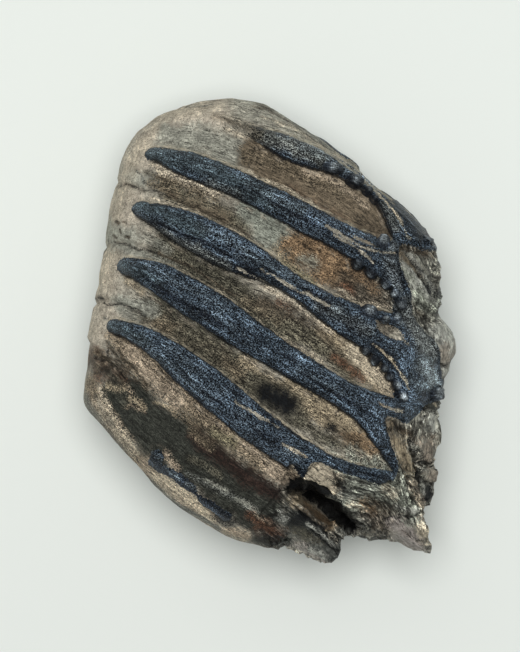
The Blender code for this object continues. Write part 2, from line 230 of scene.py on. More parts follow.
# Where the surface is bare root, in pixels.
ROOT_AREA = [
    (397, 240), (445, 236), (475, 300), (475, 420), (460, 575), (330, 585), (268, 545), (262, 515),
    (280, 494), (290, 470), (296, 450), (330, 463), (384, 482), (397, 468), (391, 442), (386, 417),
    (396, 419), (406, 425), (417, 416), (428, 404), (444, 392), (440, 352), (424, 330), (411, 303),
    (403, 275), (399, 255),
]
# The grain of the bare roots follows these lines, in pixels.
ROOT_GUIDES = [
    [(290, 438), (320, 462), (345, 478), (385, 495), (405, 522), (432, 552)],
    [(392, 425), (396, 455), (404, 480), (414, 505), (425, 535)],
    [(398, 235), (416, 268), (432, 300), (448, 335), (446, 380)],
    [(432, 400), (433, 440), (434, 480), (426, 510)],
    [(272, 500), (300, 522), (331, 562)],
    [(84, 346), (104, 360), (132, 386)],
]

# Root pieces worn smooth, in the same form as the hollows.
WORN = [
    (411, 538, 28, 14, -32), (307, 538, 40, 16, -42), (444, 344, 26, 17, 90), (444, 374, 9, 8, 90),
    (435, 406, 9, 8, 0), (433, 427, 15, 9, 90), (428, 449, 13, 10, 90), (432, 475, 11, 9, 0),
    (427, 492, 12, 9, 90), (427, 375, 22, 18, 90), (313, 513, 24, 8, -40), (320, 475, 20, 13, -42),
    (416, 272, 32, 12, -60), (404, 451, 21, 9, -62),
]
# The shattered cement at the crown end of the lowest valley, in the same form.
SHATTERED = (106, 365, 24, 13, -38)
# The painted shade of the cavity, in pixels.
CAVITY_SHADE = [
    (286, 489), (292, 481), (305, 478), (316, 482), (331, 491), (342, 502), (350, 514), (355, 527),
    (347, 533), (340, 526), (337, 519), (325, 512), (318, 505), (308, 499), (296, 497), (289, 496),
]

# Paints: the colour, and last how gritty it looks.
PAINTS = {
    "margin": (0.46, 0.405, 0.325, 0.25),
    "cement": (0.38, 0.35, 0.285, 0.3),
    "grey cement": (0.36, 0.345, 0.285, 0.3),
    "dark grey": (0.13, 0.135, 0.12, 0.7),
    "green grey": (0.31, 0.31, 0.26, 0.3),
    "pale green": (0.31, 0.325, 0.27, 0.35),
    "yellow grey": (0.24, 0.22, 0.135, 0.6),
    "cream": (0.55, 0.475, 0.36, 0.6),
    "light cream": (0.68, 0.585, 0.435, 0.5),
    "tan": (0.36, 0.295, 0.2, 0.6),
    "pink tan": (0.42, 0.34, 0.25, 0.5),
    "tan brown": (0.17, 0.138, 0.094, 0.7),
    "brown": (0.2, 0.158, 0.108, 0.2),
    "dark brown": (0.085, 0.068, 0.048, 0.7),
    "orange brown": (0.235, 0.158, 0.092, 0.6),
    "rust": (0.12, 0.06, 0.035, 0.6),
    "olive grey": (0.15, 0.137, 0.098, 0.8),
    "olive": (0.1, 0.093, 0.068, 0.8),
    "slate": (0.039, 0.041, 0.033, 0.5),
    "black": (0.006, 0.007, 0.008, 0.3),
    "red black": (0.03, 0.018, 0.014, 0.5),
    "root grey": (0.34, 0.33, 0.275, 0.8),
    "root green": (0.36, 0.375, 0.31, 0.8),
    "pale root": (0.52, 0.45, 0.335, 0.6),
    "pale grey": (0.44, 0.44, 0.39, 0.4),
    "root brown": (0.28, 0.235, 0.185, 0.7),
    "violet grey": (0.36, 0.32, 0.29, 0.3),
    "enamel": (0.063, 0.087, 0.114, 1),
    # Partly the enamel's own dark and partly painted shade on lower sides and in grooves.
    "deep enamel": (0.012, 0.016, 0.024, 0.8),
    "teal enamel": (0.064, 0.089, 0.1, 0.35),
    # Painted sheen on the enamel.
    "enamel sheen": (0.11, 0.138, 0.155, 0.9),
    # Painted shade at the beads' rims; the lit bead colour below is the painted highlight on their tops.
    "shaded_bead_rim": (0.03, 0.04, 0.055, 0.3),
    "lens": (0.036, 0.045, 0.056, 0.35),
    "lit_bead": (0.3, 0.34, 0.36, 0.3),
    # Painted highlight on the enamel.
    "enamel highlight": (0.30, 0.36, 0.39, 0.9),
    "beige": (0.255, 0.205, 0.145, 0.75),
    "grit": (0.12, 0.127, 0.118, 1.0),
    "brown grit": (0.16, 0.145, 0.11, 0.8),
}
# The strokes that colour and shape the cement and the roots, later over earlier. Each has its paint,
# half width and softness in pixels, strength, the height in mm that it adds, and its line in pixels.
GROUND = [
    ("margin", 17, 8, 1.0, 0,
     [(222, 108), (182, 120), (152, 142), (133, 172), (122, 205), (110, 250), (101, 290), (92, 335)]),
    ("light cream", 6, 5, 0.3, 0,
     [(216, 104), (176, 114), (146, 138), (126, 170), (114, 205), (103, 250), (94, 290), (88, 330)]),
    ("grey cement", 14, 6, 0.9, 0, [(245, 108), (290, 124), (330, 150), (375, 188), (408, 226)]),
    ("dark grey", 2.5, 2, 0.8, 0, [(262, 103), (300, 118), (338, 146), (378, 182), (410, 222)]),
    ("cream", 1.5, 1.5, 0.6, 0.1, [(262, 117), (290, 127), (318, 142), (345, 160)]),
    ("dark brown", 0.7, 0.7, 0.9, -0.3, [(252, 106), (262, 108), (275, 114), (300, 127), (330, 147)]),
    ("green grey", 13, 6, 0.9, 0, [(172, 136), (205, 140), (235, 152)]),
    ("green grey", 8, 5, 0.9, 0, [(132, 178), (160, 184)]),
    ("green grey", 9, 5, 0.9, 0, [(108, 232), (128, 236)]),
    ("green grey", 6, 4, 0.7, 0, [(122, 312), (140, 318)]),
    ("margin", 8, 4, 0.8, 0, [(96, 318), (110, 316)]),
    ("cream", 7, 5, 0.4, 0, [(112, 252), (106, 275), (100, 294)]),
    ("margin", 4, 3, 0.8, 0, [(98, 296), (108, 298)]),
    ("cream", 5, 5, 0.3, 0, [(140, 152), (130, 176), (124, 200)]),
    ("tan brown", 3, 2, 0.6, 0, [(214, 116), (236, 122), (262, 132)]),
    ("dark brown", 0.8, 1.2, 0.4, 0, [(226, 119), (244, 124), (262, 131)]),
    ("cream", 2, 1.5, 0.7, 0.1, [(226, 128), (240, 135), (256, 143)]),
    # Valley by valley, from the top.
    ("brown", 22, 4, 1.0, 0, [(262, 158), (300, 176), (340, 196), (380, 225)]),
    ("tan brown", 9, 4, 0.8, 0, [(252, 158), (272, 160), (320, 178), (340, 188)]),
    ("pink tan", 2.2, 1.5, 0.8, 0, [(305, 172), (330, 180), (350, 192), (368, 208)]),
    ("rust", 4, 4, 0.4, 0, [(290, 190), (320, 208), (345, 222)]),
    ("dark brown", 7, 5, 0.45, 0, [(362, 222), (376, 230), (386, 237)]),
    ("olive grey", 11, 3, 1.0, 0, [(168, 188), (180, 197), (205, 208), (240, 228)]),
    ("brown", 4, 3, 0.7, 0, [(166, 190), (176, 196)]),
    ("olive", 2, 1.5, 0.9, 0, [(146, 172), (152, 174), (157, 178)]),
    ("tan brown", 4, 2, 0.9, 0, [(150, 184), (160, 188), (172, 194)]),
    ("tan brown", 5, 3, 0.9, 0, [(160, 177), (185, 184), (215, 196)]),
    ("brown", 6, 4, 0.8, 0, [(190, 205), (215, 215), (240, 228)]),
    ("dark brown", 1.4, 1.2, 0.9, -0.2, [(178, 202), (200, 208), (222, 220), (240, 231)]),
    ("pale green", 16, 5, 1.0, 0, [(254, 214), (270, 232), (290, 246)]),
    ("olive grey", 6, 4, 0.8, 0, [(236, 222), (248, 232)]),
    ("yellow grey", 7, 4, 0.9, 0, [(284, 262), (296, 272), (310, 282)]),
    ("tan", 5, 3, 0.7, 0, [(276, 250), (286, 258), (294, 262)]),
    ("orange brown", 19, 4, 1.0, 0, [(302, 246), (326, 262), (344, 272)]),
    ("pale green", 5, 4, 0.7, 0, [(304, 258), (313, 264)]),
    ("dark brown", 19, 5, 0.85, 0, [(354, 284), (372, 298), (392, 314)]),
    ("orange brown", 5, 3, 0.8, 0, [(344, 262), (362, 274), (376, 290)]),
    ("rust", 4, 2, 0.9, 0, [(344, 288), (350, 292)]),
    ("olive", 15, 3, 1.0, 0, [(162, 250), (180, 262), (205, 278), (240, 300), (290, 332)]),
    ("olive grey", 6, 4, 0.7, 0, [(166, 252), (180, 262)]),
    ("tan brown", 5, 3, 0.7, 0, [(245, 300), (265, 312), (285, 324)]),
    ("green grey", 4, 3, 0.7, 0, [(142, 236), (155, 244), (165, 250)]),
    ("green grey", 6, 3, 0.9, 0, [(112, 243), (130, 250), (150, 258), (170, 268)]),
    ("dark brown", 5, 3, 0.9, 0, [(262, 300), (285, 312), (310, 332)]),
    ("rust", 3, 2.5, 0.8, 0, [(280, 300), (294, 309)]),
    ("tan", 19, 3.5, 1.0, 0, [(332, 334), (352, 350), (375, 368), (392, 388)]),
    ("light cream", 12, 5, 0.95, 0, [(358, 354), (376, 370), (392, 388)]),
    ("olive grey", 8, 3, 1.0, 0, [(290, 330), (315, 344), (338, 360), (352, 374)]),
    ("cream", 2.0, 1.4, 1.0, 0, [(266, 287), (285, 298), (302, 309), (318, 324), (332, 332)]),
    ("rust", 3, 2.5, 0.9, 0, [(334, 356), (348, 366), (362, 380)]),
    ("dark brown", 2.2, 1.6, 0.8, 0, [(290, 306), (306, 318), (320, 332), (332, 344)]),
    ("olive", 15, 3, 1.0, 0, [(155, 310), (170, 322), (195, 340), (228, 364), (260, 388)]),
    ("tan brown", 5, 3, 0.9, 0, [(136, 306), (150, 318), (175, 334), (205, 346)]),
    ("green grey", 7, 4, 1.0, 0, [(120, 301), (134, 304), (152, 311)]),
    ("tan brown", 5, 4, 0.7, 0, [(164, 320), (182, 332)]),
    ("tan brown", 5, 3, 0.8, 0, [(212, 352), (228, 364), (242, 376)]),
    ("olive", 6, 4, 0.8, 0, [(180, 334), (200, 344), (215, 356)]),
    ("tan", 3, 2, 0.8, 0, [(126, 280), (134, 286), (142, 292)]),
    ("tan", 16, 4, 1.0, 0, [(292, 392), (318, 408), (345, 425), (372, 442), (385, 462)]),
    ("tan", 5, 3, 0.9, 0, [(245, 362), (262, 376), (285, 388)]),
    ("tan brown", 7, 3, 0.8, 0, [(236, 372), (252, 384), (262, 392)]),
    ("olive", 15, 4, 0.9, 0, [(254, 388), (276, 400), (294, 412)]),
    ("tan", 4, 3, 0.8, 0, [(308, 404), (320, 412), (334, 422)]),
    ("black", 9.5, 4, 1.0, -0.3, [(266, 394), (277, 400), (288, 407)]),
    ("olive", 5, 4, 0.9, 0, [(296, 422), (322, 437), (345, 447)]),
    ("black", 5, 3, 1.0, -0.2, [(330, 428), (346, 435)]),
    ("orange brown", 7, 4, 0.9, 0, [(350, 436), (368, 448), (376, 458)]),
    ("dark brown", 6, 4, 0.6, 0, [(342, 434), (352, 442)]),
    ("cream", 6, 3, 0.9, 0, [(360, 462), (372, 462), (384, 468)]),
    ("black", 1.2, 1, 0.8, -0.2, [(356, 446), (366, 456)]),
    ("cream", 1.4, 1.0, 0.9, 0.1, [(277, 337), (290, 344), (306, 352), (322, 361)]),
    ("cream", 1.2, 1.0, 0.8, 0.1, [(214, 290), (225, 297), (235, 306)]),
    ("cream", 1.2, 0.9, 0.9, 0.1,
     [(150, 199), (170, 204), (185, 209), (200, 213), (215, 222), (230, 230), (245, 237)]),
    ("cream", 1.2, 0.9, 0.9, 0.1, [(240, 168), (262, 179), (285, 188), (300, 197), (318, 208), (322, 213)]),
    ("cream", 3.0, 2.0, 0.9, 0.1, [(152, 163), (165, 172), (180, 176), (187, 180)]),
    ("cream", 2.4, 1.6, 0.9, 0.1, [(192, 180), (200, 184), (208, 190), (218, 193)]),
    ("cream", 1.5, 1.2, 0.9, 0.1, [(340, 289), (350, 297), (359, 304), (376, 305), (388, 309), (397, 313)]),
    # Below the lowest whole ridge, where the cement is broken away.
    ("slate", 27, 4, 1.0, 0, [(122, 400), (150, 425), (190, 452), (230, 485), (262, 510)]),
    ("beige", 11, 2.5, 1.0, 0,
     [(118, 340), (153, 370), (185, 398), (210, 420), (243, 444), (272, 465), (292, 476)]),
    ("tan brown", 4, 2.5, 0.9, 0, [(122, 358), (144, 380), (164, 398), (182, 413), (202, 431)]),
    ("pink tan", 6, 3, 0.9, 0, [(130, 352), (148, 374), (160, 388), (178, 400)]),
    ("dark brown", 1.2, 1.0, 0.9, -0.4, [(118, 350), (128, 362), (138, 372), (146, 384)]),
    ("tan brown", 8, 4, 0.6, 0, [(200, 424), (225, 446), (250, 464), (275, 478)]),
    ("pink tan", 2.5, 2, 0.6, 0, [(236, 436), (262, 456), (280, 468)]),
    ("pink tan", 7, 3, 1.0, 0, [(272, 470), (286, 481)]),
    ("yellow grey", 5, 4, 0.7, 0, [(215, 434), (232, 442)]),
    ("red black", 8, 3, 1.0, 0, [(196, 436), (222, 458), (252, 480), (276, 492)]),
    ("tan brown", 3, 2, 0.8, 0, [(192, 432), (212, 448)]),
    ("beige", 9, 2.5, 1.0, 0, [(90, 384), (99, 406), (113, 430), (131, 452), (146, 468)]),
    ("cream", 5, 2.5, 0.9, 0, [(100, 404), (108, 420), (120, 436), (134, 450)]),
    ("slate", 5, 3, 0.8, 0, [(140, 444), (148, 452), (152, 460)]),
    ("dark grey", 1.5, 1.5, 0.4, 0, [(96, 396), (104, 414), (112, 426)]),
    # Painted shade along the lower left silhouette, where the side turns down.
    ("dark grey", 4, 2, 0.8, 0, [(84, 398), (92, 414), (106, 434), (124, 456)]),
    ("pink tan", 8, 2.5, 1.0, 0, [(148, 468), (165, 484), (190, 502), (214, 518)]),
    ("light cream", 5, 2.5, 0.8, 0, [(156, 474), (172, 488), (192, 502), (214, 519)]),
    # Painted shade along the lower left silhouette, where the side turns down.
    ("dark grey", 3, 1.5, 0.9, 0, [(142, 474), (158, 492), (182, 510), (205, 523), (226, 534)]),
    ("rust", 11, 4, 0.75, 0, [(92, 356), (102, 368), (116, 376)]),
    ("tan brown", 4, 2, 0.8, 0, [(98, 356), (110, 362), (122, 372)]),
    ("beige", 1.4, 1.0, 0.9, 0.3, [(92, 352), (102, 355), (114, 361)]),
    ("black", 0.9, 0.8, 0.9, -0.5, [(94, 358), (104, 361), (116, 368), (124, 378)]),
    ("black", 0.9, 0.8, 0.9, -0.5, [(108, 346), (106, 356), (110, 364)]),
    ("dark brown", 3, 2, 1.0, -0.6, [(90, 362), (97, 368)]),
    ("dark brown", 1.5, 1, 1.0, -0.6, [(106, 342), (116, 356), (126, 370), (136, 382)]),
    ("beige", 3, 2, 0.9, 0.2, [(112, 374), (122, 384), (130, 392)]),
    ("slate", 3, 2, 0.7, 0, [(132, 404), (140, 408)]),
    ("olive grey", 3, 2, 0.7, 0.1, [(110, 384), (118, 392), (126, 404)]),
    ("olive grey", 2.5, 2, 0.6, 0, [(190, 458), (206, 466), (220, 476)]),
    ("tan", 1.2, 1, 0.9, 0.3, [(155, 402), (164, 405), (172, 411), (176, 416)]),
    ("slate", 5, 3, 0.8, 0, [(108, 370), (116, 384), (124, 398)]),
    ("tan", 2.5, 2, 0.8, 0.2, [(108, 386), (116, 390), (124, 388)]),
    ("tan", 2.0, 1.5, 0.8, 0.2, [(130, 398), (137, 402), (144, 408)]),
    ("dark grey", 2.2, 1.8, 0.9, 0.2, [(188, 474), (200, 481), (225, 492), (256, 511)]),
    ("green grey", 1.2, 1.0, 0.9, 0.2, [(205, 480), (216, 485), (227, 491)]),
    ("green grey", 1.2, 1.0, 0.9, 0.2, [(236, 499), (248, 505), (259, 512)]),
    ("pink tan", 3, 1.5, 1.0, 0.3, [(166, 454), (170, 460), (175, 468)]),
    ("pink tan", 5, 2, 1.0, 0.2, [(228, 530), (248, 538)]),
    ("black", 4, 2, 1.0, 0, [(216, 516), (232, 522)]),
    ("rust", 5, 3, 0.9, 0.2, [(252, 516), (266, 526), (280, 536)]),
    ("pink tan", 1.4, 1.0, 0.8, 0.2, [(256, 514), (270, 524)]),
    ("slate", 7, 3, 1.0, 0, [(258, 538), (275, 543), (288, 543)]),
    ("light cream", 2, 1, 0.9, 0.2, [(380, 196), (395, 213), (402, 226), (409, 240)]),
    # Cracks and pits of the crown margin.
    ("black", 0.8, 0.6, 1.0, -0.5,
     [(112, 184), (118, 185), (123, 184), (135, 187), (145, 190), (157, 191), (170, 196)]),
    ("black", 0.9, 0.7, 1.0, -0.5,
     [(98, 244), (107, 246), (115, 243), (128, 245), (133, 247), (145, 249), (158, 253)]),
    ("dark brown", 0.8, 0.7, 1.0, -0.4,
     [(158, 252), (170, 258), (185, 264), (200, 272), (213, 282), (235, 296)]),
    ("black", 0.9, 0.7, 1.0, -0.5,
     [(94, 301), (99, 303), (103, 299), (107, 304), (118, 304), (135, 309), (146, 316)]),
    ("dark grey", 0.7, 0.7, 0.8, -0.2, [(183, 104), (200, 106), (212, 104)]),
    ("dark brown", 1.0, 0.8, 1.0, -0.4, [(116, 221), (118, 223)]),
    ("dark brown", 1.0, 0.8, 1.0, -0.4, [(123, 222), (125, 223)]),
    ("dark brown", 1.2, 0.8, 1.0, -0.4, [(126, 237), (129, 238)]),
    ("dark brown", 0.9, 0.8, 0.9, -0.3, [(120, 230), (121, 233)]),
    ("dark brown", 1.0, 0.8, 0.9, -0.3, [(113, 236), (116, 238)]),
    ("dark brown", 1.2, 1.0, 0.9, -0.3, [(170, 190), (172, 193), (176, 198)]),
    ("dark brown", 1.2, 1.0, 0.9, -0.3, [(240, 228), (246, 232), (250, 235)]),
    ("dark grey", 0.8, 0.7, 0.8, -0.2, [(137, 170), (141, 176), (143, 183)]),
    ("dark grey", 0.8, 0.7, 0.8, -0.2, [(104, 318), (112, 322), (124, 323)]),
    ("dark brown", 1.0, 0.8, 0.9, -0.3, [(90, 352), (98, 357), (108, 358), (117, 362)]),
    ("dark brown", 1.0, 0.8, 0.9, -0.4, [(89, 372), (96, 374), (104, 370), (112, 366)]),
    ("beige", 1.2, 1.0, 0.9, 0.3, [(93, 364), (101, 365), (109, 361)]),
    ("beige", 1.2, 1.0, 0.8, 0.2, [(128, 408), (132, 405), (138, 409), (145, 412)]),
    ("cream", 1.5, 1.2, 0.9, 0.2, [(100, 388), (104, 398), (110, 408)]),
    # The bare roots.
    ("root grey", 42, 12, 1.0, 0,
     [(425, 262), (440, 300), (445, 350), (450, 410), (432, 460), (425, 510), (425, 545)]),
    ("root green", 34, 10, 1.0, 0, [(395, 498), (350, 490)]),
    ("root brown", 14, 6, 0.9, 0, [(366, 520), (388, 522)]),
    ("root green", 9, 3, 1.0, 0.2, [(405, 272), (418, 290), (430, 305)]),
    ("tan brown", 5, 2, 1.0, -0.3, [(397, 249), (405, 257), (413, 266), (420, 276)]),
    ("dark brown", 4, 2, 1.0, -0.9, [(401, 244), (414, 250), (430, 254)]),
    ("pale grey", 2.4, 1.2, 1.0, 0.7, [(402, 263), (410, 271), (417, 281), (425, 292), (431, 300)]),
    ("pale grey", 1.5, 1.0, 0.9, 0.5, [(411, 254), (418, 265), (424, 275), (430, 285), (434, 294)]),
    ("black", 1.0, 0.8, 1.0, -1.0, [(405, 249), (412, 259), (418, 269), (422, 279)]),
    ("black", 3.2, 1.0, 1.0, -0.8, [(424, 283), (429, 289), (432, 294)]),
    ("black", 1.0, 1.0, 0.9, -0.8, [(420, 269), (426, 274), (430, 281)]),
    ("pale grey", 2.0, 1.2, 0.8, 0.4, [(403, 277), (409, 283), (414, 287)]),
    ("pale grey", 2.0, 1.2, 0.8, 0.4, [(407, 289), (410, 298)]),
    ("black", 2.0, 1.4, 0.7, -0.9, [(421, 305), (428, 311), (435, 314), (437, 320)]),
    ("dark brown", 1.8, 1.2, 0.8, -0.6, [(421, 314), (427, 318)]),
    ("pale grey", 15, 3, 1.0, 0, [(442, 334), (446, 350), (444, 358)]),
    ("root brown", 7, 3, 0.8, 0, [(443, 352), (446, 362)]),
    ("black", 1.2, 1.0, 0.8, -0.8, [(420, 322), (429, 320), (437, 321)]),
    ("dark grey", 1.2, 1.2, 0.8, -0.5, [(426, 327), (434, 338), (440, 342)]),
    ("pale grey", 5, 2, 0.9, 0, [(444, 372), (445, 380)]),
    ("black", 1.2, 1.0, 0.9, -1.0, [(438, 364), (444, 366), (449, 367)]),
    ("black", 1.1, 1.0, 0.9, -1.0, [(439, 360), (441, 374), (442, 388)]),
    ("slate", 7, 2, 1.0, 0, [(431, 403), (437, 408)]),
    ("pale root", 1.2, 1.0, 0.7, 0.3, [(434, 403), (436, 406)]),
    ("black", 2.2, 1.2, 1.0, -1.2, [(422, 406), (430, 411), (438, 414)]),
    ("pale grey", 6, 2, 0.9, 0.3, [(431, 418), (434, 430)]),
    ("dark brown", 2.6, 1.6, 0.9, 0, [(433, 438), (437, 434)]),
    ("black", 1.5, 1.0, 1.0, -1.4, [(424, 411), (425, 420), (428, 430), (433, 439)]),
    ("pale grey", 1.0, 0.8, 0.9, 0.4, [(421, 419), (426, 427), (431, 437)]),
    ("black", 1.2, 1.2, 0.8, -0.6, [(411, 421), (415, 430)]),
    ("dark brown", 3.5, 2, 1.0, -0.6, [(390, 422), (400, 429), (410, 434), (416, 442)]),
    ("root brown", 9, 3, 1.0, 0.6, [(427, 446), (427, 456)]),
    # Painted shade in the gap between the knobs.
    ("black", 3.4, 1.6, 1.0, -1.6, [(410, 440), (416, 455), (418, 466), (418, 480)]),
    ("black", 4, 2, 1.0, -0.8, [(417, 464), (420, 474), (419, 488)]),
    ("black", 1.9, 0.9, 1.0, -1.6, [(416, 461), (428, 465), (439, 469)]),
    ("root brown", 6, 2, 0.9, 0.4, [(432, 474), (434, 478)]),
    ("black", 1.2, 1.0, 0.9, -1.0, [(421, 481), (430, 483), (437, 484)]),
    ("black", 7, 3, 0.95, 0, [(427, 490), (428, 500)]),
    ("pale grey", 0.8, 0.7, 0.7, 0.3, [(424, 482), (424, 494)]),
    ("pale grey", 0.8, 0.7, 0.7, 0.3, [(430, 484), (433, 493)]),
    ("black", 1.8, 1.2, 1.0, -0.3, [(430, 487), (431, 500)]),
    ("black", 1.5, 1.2, 1.0, -1.0, [(412, 498), (420, 500), (434, 502)]),
    ("root brown", 4, 1.6, 1.0, 0.5, [(410, 484), (415, 495), (420, 506), (421, 518)]),
    ("pale root", 2, 1.4, 0.7, 0.2, [(412, 490), (416, 500), (419, 510)]),
    ("black", 1.0, 0.9, 0.9, -0.8, [(406, 484), (411, 497), (418, 511)]),
    ("pale root", 2.2, 1.2, 1.0, 0.6, [(413, 476), (412, 484)]),
    ("tan", 7.5, 2, 1.0, 0.3, [(396, 440), (402, 450), (406, 458), (410, 467)]),
    ("tan brown", 5, 3, 0.8, 0, [(390, 425), (395, 436)]),
    ("dark brown", 0.8, 0.8, 0.9, -0.6, [(402, 441), (408, 449), (416, 459)]),
    ("dark brown", 0.7, 0.7, 0.8, -0.4, [(403, 452), (407, 462), (410, 472)]),
    ("black", 0.9, 0.9, 0.8, -0.6, [(399, 466), (404, 476), (410, 487)]),
    ("pale root", 12, 3, 1.0, 0.3, [(306, 464), (320, 474), (334, 486)]),
    ("pale root", 5, 3, 0.9, 0, [(302, 462), (314, 466)]),
    ("cream", 6, 3, 0.4, 0, [(318, 472), (334, 484)]),
    ("cream", 2.0, 1.5, 0.8, 0.3, [(318, 466), (330, 474), (340, 478)]),
    ("cream", 2.0, 1.5, 0.7, 0.2, [(291, 449), (302, 455), (309, 460)]),
    ("black", 0.9, 0.8, 0.9, -0.5, [(314, 460), (311, 469), (303, 474)]),
    ("slate", 4.5, 2, 1.0, -0.5, [(339, 483), (346, 489)]),
    ("black", 1.0, 0.9, 0.9, -0.7, [(334, 472), (337, 482), (340, 491), (334, 497)]),
    ("black", 1.0, 0.9, 0.9, -0.7, [(348, 490), (362, 488), (372, 492), (380, 500), (388, 506)]),
    ("pale root", 4, 2, 0.9, 0.4, [(352, 502), (358, 506), (363, 510)]),
    ("dark grey", 4, 2.5, 0.8, -0.3, [(342, 492), (350, 495), (358, 497)]),
    ("dark grey", 5, 4, 0.6, 0, [(362, 482), (374, 487)]),
    ("pale root", 4, 2.5, 0.7, 0, [(384, 488), (394, 494)]),
    ("dark brown", 5, 4, 0.6, 0, [(374, 508), (386, 514)]),
    ("orange brown", 5, 3, 0.9, 0, [(364, 503), (374, 512)]),
    ("dark brown", 3, 2, 0.9, -0.5, [(370, 499), (384, 510)]),
    ("dark grey", 9, 4, 0.75, -0.4, [(354, 518), (366, 530)]),
    ("root grey", 1.4, 1.2, 0.7, 0, [(352, 512), (362, 522), (370, 534)]),
    ("dark brown", 7, 4, 0.7, -0.3, [(378, 530), (386, 537)]),
    ("black", 2.0, 1.5, 0.9, -0.8, [(386, 519), (396, 517), (403, 524)]),
    ("pale grey", 1.8, 1.2, 0.8, 0.4, [(398, 507), (409, 510), (418, 511)]),
    ("black", 0.9, 0.8, 0.9, -0.6, [(396, 514), (409, 516), (418, 514)]),
    ("violet grey", 9, 4, 1.0, 0, [(396, 528), (410, 538), (418, 545)]),
    ("pale root", 6, 3, 0.9, 0.3, [(422, 528), (427, 540)]),
    ("olive", 1.4, 1.2, 0.8, -0.2, [(416, 541), (424, 542), (427, 535)]),
    ("dark brown", 0.8, 0.8, 0.8, -0.3, [(402, 531), (410, 537)]),
    ("black", 1.2, 1.0, 0.9, -0.3, [(431, 532), (434, 545), (430, 553)]),
    ("black", 1.4, 1.0, 0.9, -0.4, [(426, 548), (431, 547)]),
    # The cavity, the ledge in it and the lower root.
    ("dark grey", 15, 4, 1.0, 0, [(290, 520), (310, 538), (328, 552)]),
    ("root grey", 1.4, 1.2, 0.9, 0.2, [(283, 524), (298, 540), (316, 556)]),
    ("black", 2.0, 1.4, 0.9, -0.3, [(286, 514), (302, 527), (318, 541)]),
    ("slate", 7, 4, 1.0, 0, [(286, 517), (298, 527)]),
    ("black", 4, 3, 0.8, 0, [(286, 514), (296, 525)]),
    ("olive grey", 7, 4, 0.8, 0, [(302, 534), (318, 544)]),
    ("dark grey", 5, 3, 1.0, 0, [(314, 546), (326, 552)]),
    ("rust", 8, 4, 0.6, 0, [(262, 528), (276, 532)]),
    ("black", 5, 3, 0.7, 0, [(264, 534), (280, 538)]),
    ("pale grey", 3, 2.5, 0.8, 0.2, [(281, 512), (284, 518)]),
    ("violet grey", 4, 2, 0.9, 0.3, [(298, 546), (312, 554), (324, 561)]),
    ("pale grey", 1.6, 1.0, 1.0, 0.4, [(310, 548), (320, 554), (328, 561)]),
    ("black", 3, 2, 0.9, 0, [(330, 562), (336, 558)]),
    # Painted shade: the black in the cavity.
    ("black", 8, 2, 1.0, 0, [(293, 489), (312, 492), (332, 504), (345, 520), (350, 528)]),
    ("black", 4, 2.5, 1.0, -0.5, [(330, 530), (338, 536), (342, 544)]),
    ("black", 8, 2, 1.0, 0, [(302, 517), (324, 532)]),
    ("black", 7, 3, 1.0, 0, [(298, 486), (310, 492), (318, 500)]),
    ("dark grey", 6, 3, 0.9, 0, [(328, 514), (336, 522), (342, 530)]),
    ("tan", 4.5, 1.5, 1.0, 0.6, [(294, 500), (306, 506), (317, 515), (331, 527)]),
    ("orange brown", 2.5, 1.5, 0.9, 0.2, [(306, 508), (318, 518), (330, 527)]),
    ("pale grey", 0.8, 0.7, 0.8, 0.1, [(320, 512), (328, 512), (334, 518)]),
    ("pale grey", 0.8, 0.7, 0.7, 0.1, [(324, 508), (331, 509), (336, 513)]),
    ("dark brown", 1.0, 0.8, 0.9, -0.5, [(298, 508), (312, 517), (324, 527)]),
    ("black", 1.5, 1.0, 0.9, -0.6, [(300, 513), (314, 523), (326, 534)]),
    ("pale grey", 1.6, 1.2, 1.0, 0.5, [(308, 524), (320, 534), (333, 547)]),
    ("black", 1.3, 1.0, 1.0, -1.0, [(312, 531), (325, 542), (337, 552)]),
]
